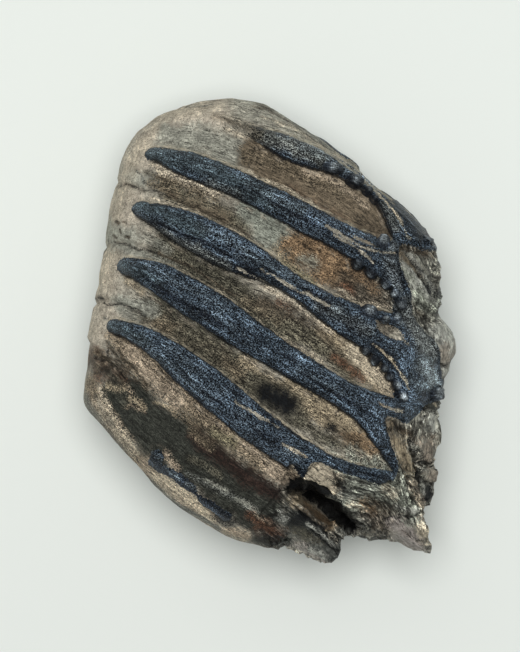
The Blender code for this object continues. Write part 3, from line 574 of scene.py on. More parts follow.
# The strokes that colour and shape the enamel, in the same form.
GLAZE = [
    ("teal enamel", 9, 5, 0.8, 0, [(150, 152), (190, 162), (230, 180), (265, 200)]),
    ("teal enamel", 7, 4, 0.8, 0, [(140, 206), (165, 214), (200, 232)]),
    ("teal enamel", 6, 4, 0.7, 0, [(124, 266), (140, 272), (158, 282)]),
    ("teal enamel", 5, 3, 0.7, 0, [(112, 326), (130, 332), (146, 342)]),
    ("enamel sheen", 5, 5, 0.6, 0, [(250, 188), (270, 197), (300, 212)]),
    ("enamel sheen", 4, 4, 0.3, 0, [(240, 254), (265, 266), (290, 282)]),
    ("enamel sheen", 4, 4, 0.5, 0, [(336, 310), (355, 322), (370, 334)]),
    ("enamel sheen", 4, 4, 0.4, 0, [(286, 278), (305, 290)]),
    ("enamel sheen", 4, 4, 0.4, 0, [(134, 336), (152, 346)]),
    ("enamel sheen", 4, 4, 0.4, 0, [(396, 292), (404, 306)]),
    ("enamel sheen", 5, 4, 0.6, 0, [(414, 380), (424, 388)]),
    ("enamel sheen", 4, 4, 0.25, 0, [(215, 314), (240, 330)]),
    ("enamel sheen", 3, 3, 0.4, 0, [(300, 370), (320, 382), (340, 394)]),
    ("enamel sheen", 4, 4, 0.3, 0, [(236, 414), (256, 428)]),
    ("enamel highlight", 4, 4, 0.4, 0, [(322, 162), (330, 166), (340, 171)]),
    ("enamel sheen", 3.5, 3.5, 0.3, 0, [(158, 152), (185, 158), (210, 168)]),
    ("enamel sheen", 3.5, 3.5, 0.4, 0, [(200, 226), (230, 242), (255, 258), (290, 274)]),
    ("enamel sheen", 4, 4, 0.3, 0, [(150, 268), (175, 282), (200, 293), (222, 308)]),
    ("enamel sheen", 4, 4, 0.3, 0, [(165, 346), (195, 370), (225, 392)]),
    ("brown grit", 8, 4, 1.0, 0, [(225, 122), (245, 129), (268, 139)]),
    ("enamel highlight", 3, 3, 0.4, 0, [(286, 450), (300, 457)]),
    ("grit", 8, 4, 1.0, 0, [(270, 140), (300, 150), (322, 160)]),
    ("grit", 5, 3, 0.8, 0, [(382, 205), (395, 228)]),
    ("enamel highlight", 6, 4, 0.3, 0, [(304, 147), (322, 154), (346, 166), (372, 188)]),
    ("grit", 6, 4, 0.7, 0, [(208, 184), (235, 196)]),
    ("grit", 6, 3, 0.9, 0, [(145, 225), (170, 238), (205, 256), (228, 268)]),
    ("grit", 10, 6, 0.8, 0, [(405, 305), (420, 335), (430, 350)]),
    ("grit", 7, 4, 0.5, 0, [(320, 305), (345, 318), (365, 330)]),
    ("grit", 7, 4, 0.5, 0, [(390, 245), (392, 266), (398, 290)]),
    ("lens", 12, 4, 1.0, 0, [(396, 196), (412, 214), (430, 236)]),
    # The rounded enamel bulge at the right: a painted highlight on its top and painted shade below it.
    ("enamel sheen", 8, 5, 1.0, 0, [(420, 364), (428, 372), (433, 384)]),
    ("enamel highlight", 5, 4, 0.9, 0, [(422, 364), (428, 371), (432, 379)]),
    ("deep enamel", 5, 3, 0.9, 0, [(424, 396), (440, 394)]),
    ("deep enamel", 4, 4, 0.4, 0, [(268, 362), (282, 370)]),
    ("deep enamel", 4, 4, 0.5, 0, [(262, 436), (280, 446)]),
    ("deep enamel", 7, 4, 0.8, 0, [(148, 455), (164, 470), (190, 488), (214, 504), (246, 530)]),
    # Painted shade on the fourth ridge.
    ("deep enamel", 4, 3, 0.7, 0, [(160, 290), (190, 306), (220, 326)]),
    ("enamel sheen", 1.2, 1.2, 0.7, 0.2, [(150, 452), (158, 456), (166, 466), (180, 478)]),
    ("enamel highlight", 1.2, 1.0, 0.9, 0.2, [(186, 482), (198, 490), (212, 500)]),
    ("enamel sheen", 4, 4, 0.4, 0, [(150, 352), (180, 372), (210, 396)]),
    # Grooves along the bands, darkened with painted shade.
    ("deep enamel", 1.5, 1.2, 1.0, -0.6,
     [(152, 222), (165, 226), (178, 232), (200, 240), (222, 252), (240, 262), (256, 270)]),
    ("deep enamel", 1.3, 1.1, 1.0, -0.5,
     [(246, 268), (262, 279), (280, 292), (300, 304), (318, 320), (334, 331)]),
    ("deep enamel", 1.1, 1.0, 0.8, -0.4, [(225, 246), (250, 260), (275, 272), (300, 286), (330, 302)]),
    ("deep enamel", 1.4, 1.2, 1.0, -0.5, [(146, 278), (160, 289), (175, 298), (200, 310), (225, 328)]),
    ("deep enamel", 1.1, 1.1, 0.9, -0.4, [(222, 314), (245, 330), (270, 348), (295, 362)]),
    ("deep enamel", 1.1, 1.1, 0.9, -0.4, [(300, 372), (325, 388), (350, 402), (375, 418)]),
    ("deep enamel", 1.1, 1.1, 0.9, -0.4, [(225, 385), (250, 402), (280, 424), (305, 440)]),
    ("deep enamel", 1.1, 1.1, 0.9, -0.4, [(180, 370), (205, 392), (235, 414), (265, 436)]),
    ("deep enamel", 1.1, 1.1, 0.9, -0.4, [(240, 186), (262, 195), (290, 212), (325, 230)]),
    ("deep enamel", 1.1, 1.1, 0.8, -0.3, [(345, 340), (365, 352), (382, 368), (396, 390)]),
    ("deep enamel", 1.1, 1.1, 0.8, -0.3, [(300, 462), (330, 468), (365, 474), (385, 476)]),
    ("enamel sheen", 1.0, 1.0, 0.6, 0.2, [(330, 452), (355, 462), (380, 470)]),
]
# Enamel beads round the root ends of the valleys: middle, half length, half width, direction in degrees.
BEAD_SHAPES = [
    (333, 168, 10, 5, -18), (355, 181, 8.5, 5.5, -28), (368, 191, 4.5, 3.5, -40), (375, 199, 4, 3, -50),
    (383, 243, 7, 5.5, -20), (358, 264, 6, 6, -40), (371, 273, 6.5, 5, -50), (386, 284, 6, 4.5, -45),
    (395, 293, 5, 4.5, -50), (402, 304, 5, 4.5, -60), (369, 312, 9, 5.5, -20), (385, 320, 5, 4, -10),
    (396, 318, 4.5, 4, 20), (366, 350, 5, 4.5, -30), (375, 360, 6, 5, -50), (385, 368, 4.5, 4, -50),
    (390, 377, 4.5, 4, -60), (397, 385, 5.5, 4.5, -60), (403, 396, 5, 4.5, -60), (436, 394, 6, 7, 0),
]


def smooth_line(points, steps=8, closed=False):
    """A Catmull-Rom line through the points."""
    points = np.array(points, float)
    if closed:
        padded = np.vstack([points[-1:], points, points[:2]])
    else:
        padded = np.vstack([2 * points[0] - points[1], points, 2 * points[-1] - points[-2]])
    line = []
    for a, b, c, d in zip(padded, padded[1:], padded[2:], padded[3:]):
        for t in np.arange(steps) / steps:
            bend = 2 * a - 5 * b + 4 * c - d + (3 * b - a - 3 * c + d) * t
            line.append(b + 0.5 * t * (c - a + bend * t))
    line.append(points[0] if closed else points[-1])
    return np.array(line)


def line_coordinates(plan, line):
    """Each point's distance to the line, positive on the left of its direction, and its place along it."""
    nearest = np.full(len(plan), np.inf)
    side = np.ones(len(plan))
    place = np.zeros(len(plan))
    passed = 0.0
    for start, step in zip(line, np.diff(line, axis=0)):
        offset = plan - start
        along = np.clip(offset @ step / (step @ step), 0.0, 1.0)
        gap = np.hypot(*(offset - along[:, None] * step).T)
        turn = step[0] * offset[:, 1] - step[1] * offset[:, 0]
        closer = gap < nearest
        length = np.hypot(*step)
        nearest = np.where(closer, gap, nearest)
        side = np.where(closer, np.where(turn < 0, -1.0, 1.0), side)
        place = np.where(closer, passed + along * length, place)
        passed += length
    return nearest * side, place


def signed_distance(plan, line):
    return line_coordinates(plan, line)[0]


def ease(value, start, end):
    """0 before start, 1 after end, and smooth between."""
    t = np.clip((value - start) / (end - start), 0.0, 1.0)
    return t * t * (3 - 2 * t)


def bell(value, width):
    return np.exp(-((value / width) ** 2))


def hashed(cells, seed):
    """A repeatable number from -1 to 1 for each cell of space."""
    x, y, z = (cells + 5000).T
    mixed = (x * 374761393 + y * 668265263 + z * 1440662683 + seed * 127412617) & 0xFFFFFFFF
    mixed = ((mixed ^ (mixed >> 13)) * 1274126177) & 0xFFFFFFFF
    return ((mixed ^ (mixed >> 16)) & 0xFFFF) / 32767.5 - 1.0


def noise(points, size, seed):
    """Smooth repeatable noise from -1 to 1 with features of about this size."""
    cell = np.floor(points / size).astype(np.int64)
    part = points / size - cell
    part = part * part * (3 - 2 * part)
    total = np.zeros(len(points))
    for corner in np.ndindex(2, 2, 2):
        total += hashed(cell + corner, seed) * np.prod(np.where(corner, part, 1 - part), axis=1)
    return total


def several(count, kind, seed, *places):
    """That many repeatable numbers for each point, from seeds that follow each other."""
    return np.column_stack([kind(*places, seed + k) for k in range(count)])


def chunks(points, size, seed):
    """Broken pieces of about this size: each point's height on its own tilted piece, the piece's own number
    from -1 to 1, and how far the point is from the piece's edge."""
    place = points / size
    cell = np.floor(place).astype(np.int64)
    first, second = np.full(len(points), 9.0), np.full(len(points), 9.0)
    height, own = np.zeros(len(points)), np.zeros(len(points))
    for corner in np.ndindex(3, 3, 3):
        near = cell + corner - 1
        offset = place - near - 0.5 - 0.45 * several(3, hashed, seed, near)
        gap = np.sqrt((offset**2).sum(axis=1))
        tilt = several(3, hashed, seed + 3, near)
        number = hashed(near, seed + 6)
        closer = gap < first
        second = np.where(closer, first, np.minimum(second, gap))
        height = np.where(closer, 0.5 * number + 0.8 * (offset * tilt).sum(axis=1), height)
        own = np.where(closer, number, own)
        first = np.where(closer, gap, first)
    return height, own, second - first


def area_depth(plan, corners):
    """How far inside a closed line each point lies, negative outside it."""
    inside = np.zeros(len(plan), bool)
    x, y = plan.T
    for (x0, y0), (x1, y1) in zip(corners, np.roll(corners, -1, axis=0)):
        crosses = (y0 > y) != (y1 > y)
        inside ^= crosses & (x < x0 + (y - y0) * (x1 - x0) / (y1 - y0 + 1e-9))
    away = np.abs(signed_distance(plan, np.vstack([corners, corners[:1]])))
    return np.where(inside, away, -away)


def merge(first, second, reach):
    """The larger of two depths, rounded where they are about equal."""
    overlap = np.maximum(reach - np.abs(first - second), 0) / reach
    return np.maximum(first, second) + overlap**2 * reach / 4


def top_plan(points):
    """Where each point's line of sight meets the top level."""
    centre = np.array(CAMERA_PLAN)
    spread = (CAMERA_HEIGHT - TOP_LEVEL) / (CAMERA_HEIGHT - points[:, 2])
    return centre + (points[:, :2] - centre) * spread[:, None]


def pixel_scale():
    """Pixels to the millimetre at the top level."""
    return PIXELS_PER_MM * (CAMERA_HEIGHT - WIDEST_LEVEL) / (CAMERA_HEIGHT - TOP_LEVEL)


def from_pixels(line):
    """Plan points at the top level from places in the camera's frame."""
    offset = (np.array(line, float) - np.array(FRAME_SIZE) / 2) / pixel_scale()
    return np.array(CAMERA_PLAN) + offset * (1, -1)


def to_pixels(plan):
    """Places in the camera's frame from plan points at the top level."""
    offset = (plan - np.array(CAMERA_PLAN)) * pixel_scale() * (1, -1)
    return offset + np.array(FRAME_SIZE) / 2


def crown_place(plan):
    """How far each point is along +X, counted so that the ridges' crown ends all lie at CROWN_TIPS."""
    return plan[:, 0] - CROWN_LEAN * plan[:, 1]


def turned_away(facing):
    """1 where the surface faces down and 0 where it faces up, from the upward part of its normal."""
    return ease(-facing, -0.1, 0.3)


class Surface:
    """How each point lies to the ridges, the valleys, the enamel's limits and the grain."""

    def __init__(self, points, facing):
        under = points[:, :2] * UNDER_SCALE + np.array(UNDER_SHIFT)
        self.points = points
        self.hidden = hidden = turned_away(facing)
        self.seen = ease(facing, 0.05, 0.4)
        self.plan = np.where(hidden[:, None] > 0.5, under, top_plan(points))
        low = np.clip((DRIFT_LEVEL - points[:, 2]) / DRIFT_DEPTH, 0, 1)
        drift = several(2, noise, 51, points, 13.0)
        waver = several(2, noise, 53, points, 1.3) + 1.3 * several(2, noise, 55, points, 3.2)
        self.pixels = to_pixels(self.plan) + drift * (DRIFT_PIXELS * low * (1 - self.seen))[:, None]
        self.wavering = self.pixels + WAVER_PIXELS * waver
        self.edges = [[self.edge(edge) for edge in ridge] for ridge in RIDGES]
        self.plate = self.plate_count()
        self.bead_height, self.bead_depth, self.bead_light = self.beads()
        self.band, self.enamel = self.enamel_depth()
        self.side = self.edge_side()
        self.root = ease(area_depth(self.plan, from_pixels(ROOT_AREA)), -1.0, 1.5)
        shattered = self.within([SHATTERED], 0.6, 1.15)
        self.root = np.maximum(self.root, 0.7 * shattered * self.seen)
        past_tip = bell(self.edges[0][0], 3.0) * (1 - ease(self.plan[:, 0], -18, -12))
        self.grain = ease(crown_place(self.plan), CROWN_TIPS, CROWN_TIPS + 8) * (1 - past_tip)
        self.flow = self.flow_coordinates()
        self.worn = self.within(WORN, 0.7, 1.05)
        self.clean = self.within(SHADOWLESS_EDGES, 0.7, 1.1)
        # How far each point lies in the cavity's painted shade.
        self.dark = ease(area_depth(self.wavering, np.array(CAVITY_SHADE, float)), -1.0, 1.2) * self.seen

    def edge(self, edge):
        """Signed distance to a ridge's edge, which runs straight on past both of its ends."""
        line = smooth_line(edge)
        before = line[0] + np.array(CROWN_RUN_ON)
        after = line[-1] + np.array(ROOT_RUN_ON)
        return signed_distance(self.plan, np.vstack([before, line, after]))

    def plate_count(self):
        """Which plate the point lies at, counted down the plan: half a plate for a ridge or a valley."""
        flat = [edge for ridge in self.edges for edge in ridge]
        count = -np.maximum(flat[0], 0) / PLATE_SPACING
        for index, (upper, lower) in enumerate(zip(flat, flat[1:])):
            below, above = np.maximum(-upper, 0), np.maximum(lower, 0)
            inside = (below > 0) & (above > 0)
            count = np.where(inside, 0.5 * (index + below / (below + above + 1e-6)), count)
        return np.where(flat[-1] < 0, 0.5 * (len(flat) - 1) - flat[-1] / PLATE_SPACING, count)

    def enamel_depth(self):
        """Each point's depth in mm inside the bands of enamel, with and without the strands of cement."""
        depth = np.full(len(self.plan), FAR_OUTSIDE)
        for (upper, lower), (line, _) in zip(self.edges, RIDGES):
            from_tip = 2.0 * (self.plan[:, 0] - line[0][0])
            depth = np.maximum(depth, np.minimum(np.minimum(-upper, lower), from_tip))
        depth = np.minimum(depth, 2.0 * (crown_place(self.plan) - CROWN_TIPS))
        for x, y, radius in TIPS:
            middle = from_pixels([(x, y)])[0]
            depth = merge(depth, radius / pixel_scale() - np.hypot(*(self.plan - middle).T), 1.6)
        limit = -area_depth(self.plan, smooth_line(from_pixels(BEYOND_ENAMEL), 3)[:-1])
        base = np.minimum(limit, 3.0 + (self.plan[:, 0] - BASE_X) * 0.6)
        depth = np.minimum(np.maximum(depth, base), limit)
        last = signed_distance(self.plan, smooth_line(from_pixels(LAST_ENAMEL)))
        depth = np.maximum(depth, 1.3 + 0.7 * noise(self.points, 4.0, 24) - np.abs(last))
        depth += 0.22 * noise(self.points, 2.6, 21) + 0.20 * noise(self.points, 1.0, 22)
        band = np.maximum(depth, self.bead_depth)
        enamel = depth.copy()
        width = STRAND_HALF_WIDTH * (1 + 0.8 * noise(self.points, 3.0, 23))
        for strand in STRANDS:
            found, gap = self.near(strand, 12)
            enamel[found] = np.minimum(enamel[found], gap / PIXELS_PER_MM - width[found])
        for x, y, half_length, half_width, turn in HOLLOWS:
            away = self.ellipse(x, y, half_length, half_width, turn)[0]
            enamel = np.minimum(enamel, (away - 1) * half_width / PIXELS_PER_MM)
        return band, np.maximum(enamel, self.bead_depth)

    def ellipse(self, x, y, half_length, half_width, turn):
        """Each point's way out from an ellipse's middle as a share of the way to its rim, and its offset."""
        aim = np.radians(-turn)
        offset = self.pixels - (x, y)
        along = (offset[:, 0] * np.cos(aim) + offset[:, 1] * np.sin(aim)) / half_length
        across = (offset[:, 1] * np.cos(aim) - offset[:, 0] * np.sin(aim)) / half_width
        return np.hypot(along, across), offset

    def within(self, shapes, start, end):
        """1 inside any of these ellipses, fading out between two shares of the way to its rim."""
        return np.max([1 - ease(self.ellipse(*shape)[0], start, end) for shape in shapes], axis=0)

    def beads(self):
        """The beads' height and depth in mm, and how much light their tops catch."""
        height = np.zeros(len(self.plan))
        depth = np.full(len(self.plan), FAR_OUTSIDE)
        light = np.zeros(len(self.plan))
        for x, y, half_length, half_width, turn in BEAD_SHAPES:
            away, offset = self.ellipse(x, y, half_length, half_width, turn)
            radius = half_width / PIXELS_PER_MM
            height = np.maximum(height, BEAD_ROUNDNESS * radius * np.sqrt(np.clip(1 - away**2, 0, 1)))
            depth = np.maximum(depth, radius * (1 - away))
            shine = bell(np.hypot(*(offset + 0.25 * half_width).T) / half_width, 0.7)
            light = np.where(away < 1, shine * (1 - ease(away, 0.6, 1.0)), light)
        return height * self.seen, np.where(self.seen > 0.3, depth, FAR_OUTSIDE), light * self.seen

    def edge_side(self):
        """1 at the lower edge of a ridge, -1 at the upper edge and 0 where a ridge has no clear edge."""
        upper, lower = np.abs(self.edges).min(axis=0)
        return (upper - lower) / (upper + lower + 1e-6) * (1 - self.within([FAINT_EDGE], 0.7, 1.1))

    def flow_coordinates(self):
        """Places along the grain, across it and down. It follows the plates, and the guides on the roots."""
        along = 0.84 * self.plan[:, 0] - 0.55 * self.plan[:, 1]
        across = self.plate * PLATE_SPACING
        nearest = np.full(len(self.plan), np.inf)
        for index, guide in enumerate(ROOT_GUIDES):
            gap, place = line_coordinates(self.plan, smooth_line(from_pixels(guide), 4))
            closer = (np.abs(gap) < nearest) & (self.root > 0.02)
            nearest = np.where(closer, np.abs(gap), nearest)
            along = np.where(closer, place, along)
            across = np.where(closer, gap + 60.0 * (index + 2), across)
        return np.column_stack([along, across, self.points[:, 2]])

    def near(self, line, reach):
        """The points within reach of a line of the frame, and their distance to it, in pixels."""
        line = smooth_line(line, 5)
        place = self.wavering
        inside = (place > line.min(axis=0) - reach) & (place < line.max(axis=0) + reach)
        found = np.flatnonzero(inside.all(axis=1))
        return found, np.abs(signed_distance(place[found], line))

    def near_thin_strokes(self):
        """Whether each point is at a stroke so thin that it needs the finest mesh."""
        thin = np.zeros(len(self.points), bool)
        for _, half_width, _, strength, _, line in GROUND + GLAZE:
            if half_width < THIN_STROKE and strength > 0.7:
                found, gap = self.near(line, 5)
                thin[found[gap < half_width + 1.2]] = True
        return thin


def ridge_relief(surface):
    """The enamel ridges and the cement valleys between them."""
    plan = surface.plan
    to_base = 1 - ease(plan[:, 0], BASE_X, BASE_X + 10)
    from_margin = ease(crown_place(plan), CROWN_TIPS - 6, CROWN_TIPS + 14)
    height = np.zeros(len(plan))
    for upper, lower in surface.edges:
        below, above = np.maximum(-upper, 0), np.maximum(lower, 0)
        width = below + above + 1e-6
        crest = np.minimum(ENAMEL_CREST, 0.4 * width)
        height += crest * 2 * np.sqrt(below * above) / width * to_base
    for (_, lower), (upper, _) in zip(surface.edges, surface.edges[1:]):
        below, above = np.maximum(-lower, 0), np.maximum(upper, 0)
        width = below + above + 1e-6
        depth = np.minimum(VALLEY_DEPTH, 0.35 * width)
        height -= depth * 4 * below * above / width**2 * to_base * from_margin
    return height


def margin_relief(plan):
    """The cracks in from the crown margin, the broken step and the last plate."""
    height = np.zeros(len(plan))
    for suture in SUTURES:
        gap = signed_distance(plan, smooth_line(suture))
        fade = 1 - ease(plan[:, 0], suture[-1][0] - 6, suture[-1][0] + 1)
        height -= SUTURE_DEPTH * bell(gap, SUTURE_HALF_WIDTH) * fade
    step = signed_distance(plan, smooth_line(BROKEN_STEP))
    near = ease(step, -22, -8) * (1 - ease(plan[:, 0], 0, 12))
    height -= STEP_DEPTH * (1 - ease(step, -1.4, 0.6)) * near
    last = signed_distance(plan, smooth_line(LAST_PLATE))
    return height + LAST_PLATE_HEIGHT * bell(last, LAST_PLATE_HALF_WIDTH)


def rough_relief(points):
    """Lumps and layers: faint on the crown, strong on the broken roots."""
    plan = points[:, :2]
    root = ease(plan[:, 0] - 0.9 * plan[:, 1], 48, 86)
    along = np.column_stack([
        0.30 * (0.82 * plan[:, 0] - 0.57 * plan[:, 1]),
        0.57 * plan[:, 0] + 0.82 * plan[:, 1],
        0.5 * points[:, 2],
    ])
    layers = noise(along, 3.2, 11) * (0.35 + 0.9 * root)
    lumps = noise(points, 9.0, 4) * (0.5 + 0.8 * root)
    return 0.8 * layers + 0.8 * lumps


def slabs(surface):
    """The roots' splintered layers: height in mm, tone, and how near a crack is."""
    shape = np.zeros((3, len(surface.points)))
    found = np.flatnonzero(surface.root > 0)
    along, across, level = surface.flow[found].T
    bent = np.column_stack([along * 0.25, across, level * 0.4])
    lift = across / SLAB_WIDTH + 0.9 * noise(bent, 4.0, 71) + 0.25 * noise(bent, 1.3, 73)
    layer = np.floor(lift)
    tilt = lift - layer
    piece, own, edge = chunks(np.column_stack([along * 0.2, across, level * 0.4]), CHUNK_SIZE, 90)
    bit, tone, gap = chunks(np.column_stack([along * 0.25, across, level * 0.6]), 0.45 * CHUNK_SIZE, 97)
    lines = noise(np.column_stack([along * 0.07, across, level * 0.3]), 0.9, 74)
    worn = surface.worn[found]
    rough = (1 - worn) * (1 - surface.dark[found])
    shape[0, found] = (1.5 * piece + 0.35 * bit + 0.8 * (tilt - 0.5)) * rough + 0.14 * lines
    shape[1, found] = (0.5 * own + 0.4 * tone + 0.7 * (tilt - 0.5)) * (0.2 + 0.8 * rough)
    shape[1, found] += 0.35 * lines * (0.3 + 0.7 * rough)
    shape[2, found] = np.maximum(bell(edge, 0.07), 0.6 * bell(gap, 0.09)) * rough
    return shape * surface.root


def fine_relief(surface):
    """The enamel's step over the cement, its folds and beads, the roots' slabs and the strokes' heights."""
    points, flow, seen = surface.points, surface.flow, surface.seen
    enamel = ease(surface.enamel, -0.1, 0.4)
    crown = (1 - surface.root) * (1 - 0.7 * surface.clean)
    height = COAT * enamel - GAP_DEPTH * bell(surface.band + 0.4, 0.4) * ease(surface.side, 0.1, 0.7) * crown
    folds = noise(flow * (0.12, 1, 0.4), 1.7, 31) * (0.14 + 0.20 * ease(surface.pixels[:, 0], 190, 300))
    height += enamel * (folds * surface.grain + 0.09 * noise(points, 0.9, 32))
    grain = noise(flow * (0.4, 1, 0.6), 1.2, 33) * 0.14 * surface.grain + 0.12 * noise(points, 1.1, 34)
    pits = ease(noise(points, 1.5, 35) + 0.5 * noise(points, 6.0, 36), 0.62, 0.9)
    height += (1 - enamel) * (grain - PIT_DEPTH * pits) + slabs(surface)[0]
    height += surface.bead_height - 0.5 * bell(surface.bead_depth + 0.15, 0.25) * seen
    height -= CAVITY_DROP * surface.dark
    for strokes, shown in ((GROUND, 1 - enamel), (GLAZE, enamel)):
        for _, half_width, softness, _, lift, line in strokes:
            if lift:
                found, gap = surface.near(line, half_width + softness)
                weight = 1 - ease(gap, max(half_width - softness, 0), half_width + softness)
                height[found] += lift * weight * (seen * shown)[found]
    return height


def coordinates(mesh):
    points = np.empty(len(mesh.vertices) * 3)
    mesh.vertices.foreach_get("co", points)
    return points.reshape(-1, 3)


def normals(mesh):
    directions = np.empty(len(mesh.vertices) * 3)
    mesh.vertex_normals.foreach_get("vector", directions)
    return directions.reshape(-1, 3)


def set_coordinates(mesh, points):
    mesh.vertices.foreach_set("co", points.astype(np.float32).ravel())
    mesh.update()


def mesh_object(name, bm):
    mesh = bpy.data.meshes.new(name)
    bm.to_mesh(mesh)
    bm.free()
    obj = bpy.data.objects.new(name, mesh)
    bpy.context.scene.collection.objects.link(obj)
    return obj


def apply_modifiers(obj):
    """The object's mesh becomes the shape that its modifiers give."""
    graph = bpy.context.evaluated_depsgraph_get()
    shaped = bpy.data.meshes.new_from_object(obj.evaluated_get(graph))
    obj.modifiers.clear()
    obj.data = shaped


def body():
    """A cushion with the tooth's outline: each direction of a ball, moved out to the outline."""
    bm = bmesh.new()
    bmesh.ops.create_icosphere(bm, subdivisions=6, radius=1.0)
    outline = smooth_line(OUTLINE, closed=True)
    heading = np.degrees(np.arctan2(outline[:, 1], outline[:, 0]))
    order = np.argsort(heading)
    reach = np.hypot(*outline.T)[order]
    ball = np.array([vert.co for vert in bm.verts], float)
    toward = np.degrees(np.arctan2(ball[:, 1], ball[:, 0]))
    radius = np.interp(toward, heading[order], reach, period=360)
    power = np.interp(toward, *zip(*RIM_POWER))
    across = np.hypot(ball[:, 0], ball[:, 1]) + 1e-9
    level = ball[:, 2]
    scale = (across**power + np.abs(level) ** power) ** (-1 / power)
    plan = ball[:, :2] / across[:, None] * (radius * across * scale)[:, None]
    height = HALF_THICKNESS * (1 + level * scale)
    for vert, (x, y), z in zip(bm.verts, plan, height):
        vert.co = (x * MM, y * MM, z * MM)
    return mesh_object("molar_surface", bm)


def add_ball(bm, x, y, z, half_x, half_y, half_z):
    stretch = Matrix.Diagonal((half_x * MM, half_y * MM, half_z * MM, 1))
    place = Matrix.Translation(Vector((x, y, z)) * MM) @ stretch
    bmesh.ops.create_icosphere(bm, subdivisions=4, radius=1.0, matrix=place)


def add_taper(bm, balls, tallness):
    """A root: balls close together along a line, each as wide as the line is there."""
    for x, y, z, radius in smooth_line(balls, 6):
        add_ball(bm, x, y, z, radius, radius, radius * tallness)


def roots():
    """The root knobs, the spur and the lower root, still as overlapping shapes."""
    bm = bmesh.new()
    for knob in KNOBS:
        add_ball(bm, *knob)
    add_taper(bm, SPUR, 1.7)
    add_taper(bm, LOWER_ROOT, 1.5)
    return mesh_object("roots", bm)


def cavity():
    """The cutter for the cavity between the roots: a round-ended slot, widest in the middle."""
    bm = bmesh.new()
    bmesh.ops.create_icosphere(bm, subdivisions=5, radius=1.0)
    (x0, y0), (x1, y1) = CAVITY
    half_length = 0.5 * np.hypot(x1 - x0, y1 - y0)
    top = 2 * HALF_THICKNESS + 6
    half_height = top - CAVITY_FLOOR
    place = (
        Matrix.Translation(Vector(((x0 + x1) / 2, (y0 + y1) / 2, top)) * MM)
        @ Matrix.Rotation(np.arctan2(y1 - y0, x1 - x0), 4, "Z")
        @ Matrix.Diagonal((half_length * MM, CAVITY_HALF_WIDTH * MM, half_height * MM, 1))
    )
    bmesh.ops.transform(bm, matrix=place, verts=bm.verts)
    return mesh_object("cavity_cutter", bm)


def one_skin(tooth):
    """The overlapping shapes become one even mesh."""
    remesh = tooth.modifiers.new("one skin", "REMESH")
    remesh.mode = "VOXEL"
    remesh.voxel_size = SKIN_VOXEL * MM
    apply_modifiers(tooth)


def join_roots(tooth, rooted):
    """The tooth and its roots as one skin."""
    bm = bmesh.new()
    bm.from_mesh(tooth.data)
    bm.from_mesh(rooted.data)
    bm.to_mesh(tooth.data)
    bm.free()
    bpy.data.objects.remove(rooted)
    one_skin(tooth)


def carve(tooth):
    """The cavity between the roots is cut out."""
    cutter = cavity()
    cut = tooth.modifiers.new("cavity", "BOOLEAN")
    cut.operation = "DIFFERENCE"
    cut.solver = "EXACT"
    cut.object = cutter
    apply_modifiers(tooth)
    bpy.data.objects.remove(cutter)
    one_skin(tooth)


def relax(bm, times):
    for _ in range(times):
        bmesh.ops.smooth_vert(
            bm, verts=bm.verts, factor=0.5, use_axis_x=True, use_axis_y=True, use_axis_z=True
        )


def upper_side(face):
    return face.normal.z > 0.3 and face.calc_center_median().z > FINE_ABOVE * MM


def divide(bm, faces):
    """Each side of these faces cut in two."""
    edges = list({edge for face in faces for edge in face.edges})
    bmesh.ops.subdivide_edges(bm, edges=edges, cuts=1, use_grid_fill=True)


def refine_seen_side(tooth):
    """Each face of the upper side is cut in four, and so is each of those at the enamel's edges, the
    beads, the roots and the thin strokes."""
    bm = bmesh.new()
    bm.from_mesh(tooth.data)
    relax(bm, 4)
    bm.normal_update()
    divide(bm, [face for face in bm.faces if upper_side(face)])
    relax(bm, 4)
    bm.normal_update()
    upper = [face for face in bm.faces if upper_side(face)]
    middles = np.array([face.calc_center_median() for face in upper]) / MM
    surface = Surface(middles, np.ones(len(upper)))
    detailed = (np.abs(surface.enamel) < EDGE_REACH) | (surface.root > 0.3) | (surface.bead_depth > -0.5)
    detailed |= surface.near_thin_strokes()
    divide(bm, [face for face, fine in zip(upper, detailed) if fine])
    relax(bm, 2)
    bm.to_mesh(tooth.data)
    bm.free()


def add_relief(tooth):
    """The points move along their normals: first the ridges and lumps, then the detail."""
    mesh = tooth.data
    points, facing = coordinates(mesh) / MM, normals(mesh)
    hidden = turned_away(facing[:, 2])
    upper = Surface(points, np.ones(len(points)))
    under = Surface(points, -np.ones(len(points)))
    rise = (ridge_relief(upper) + margin_relief(upper.plan)) * (1 - hidden)
    rise += 0.8 * ridge_relief(under) * hidden + rough_relief(points)
    points += facing * rise[:, None]
    set_coordinates(mesh, points * MM)
    surface = Surface(points, facing[:, 2])
    points = points + normals(mesh) * fine_relief(surface)[:, None]
    points[:, 2] = np.maximum(points[:, 2], REST_CUT)
    return points, surface


def settle(tooth, points):
    """The rest face goes to zero height and the box's middle over the origin. Gives the shift in mm."""
    low, high = points.min(axis=0), points.max(axis=0)
    shift = -np.array([(low[0] + high[0]) / 2, (low[1] + high[1]) / 2, low[2]])
    set_coordinates(tooth.data, (points + shift) * MM)
    return shift


def painted(start, strokes, surface, swell=0.0):
    """The paint at each point: the strokes over a first paint, each this much wider, with torn edges."""
    spread = np.column_stack([surface.pixels, 1.5 * surface.points[:, 2]])
    torn = noise(spread, 9.0, 61) + 0.7 * noise(spread, 3.5, 62)
    paint = np.array(PAINTS[start]) * np.ones((len(surface.points), 4))
    for name, half_width, softness, strength, _, line in strokes:
        found, gap = surface.near(line, 1.5 * half_width + 2.5 * softness + 2)
        gap += torn[found] * (0.12 * half_width + 0.5 * softness) - swell * min(1, half_width / 4)
        weight = 1 - ease(gap, half_width - softness, half_width + softness)
        weight *= strength * (1 - 0.5 * surface.hidden[found])
        paint[found] += (np.array(PAINTS[name]) - paint[found]) * weight[:, None]
    return paint


def add_attribute(mesh, name, kind, values):
    attribute = mesh.attributes.new(name, kind, "POINT")
    field = {"FLOAT": "value", "FLOAT_VECTOR": "vector", "FLOAT_COLOR": "color"}[kind]
    attribute.data.foreach_set(field, np.ascontiguousarray(values, np.float32).ravel())


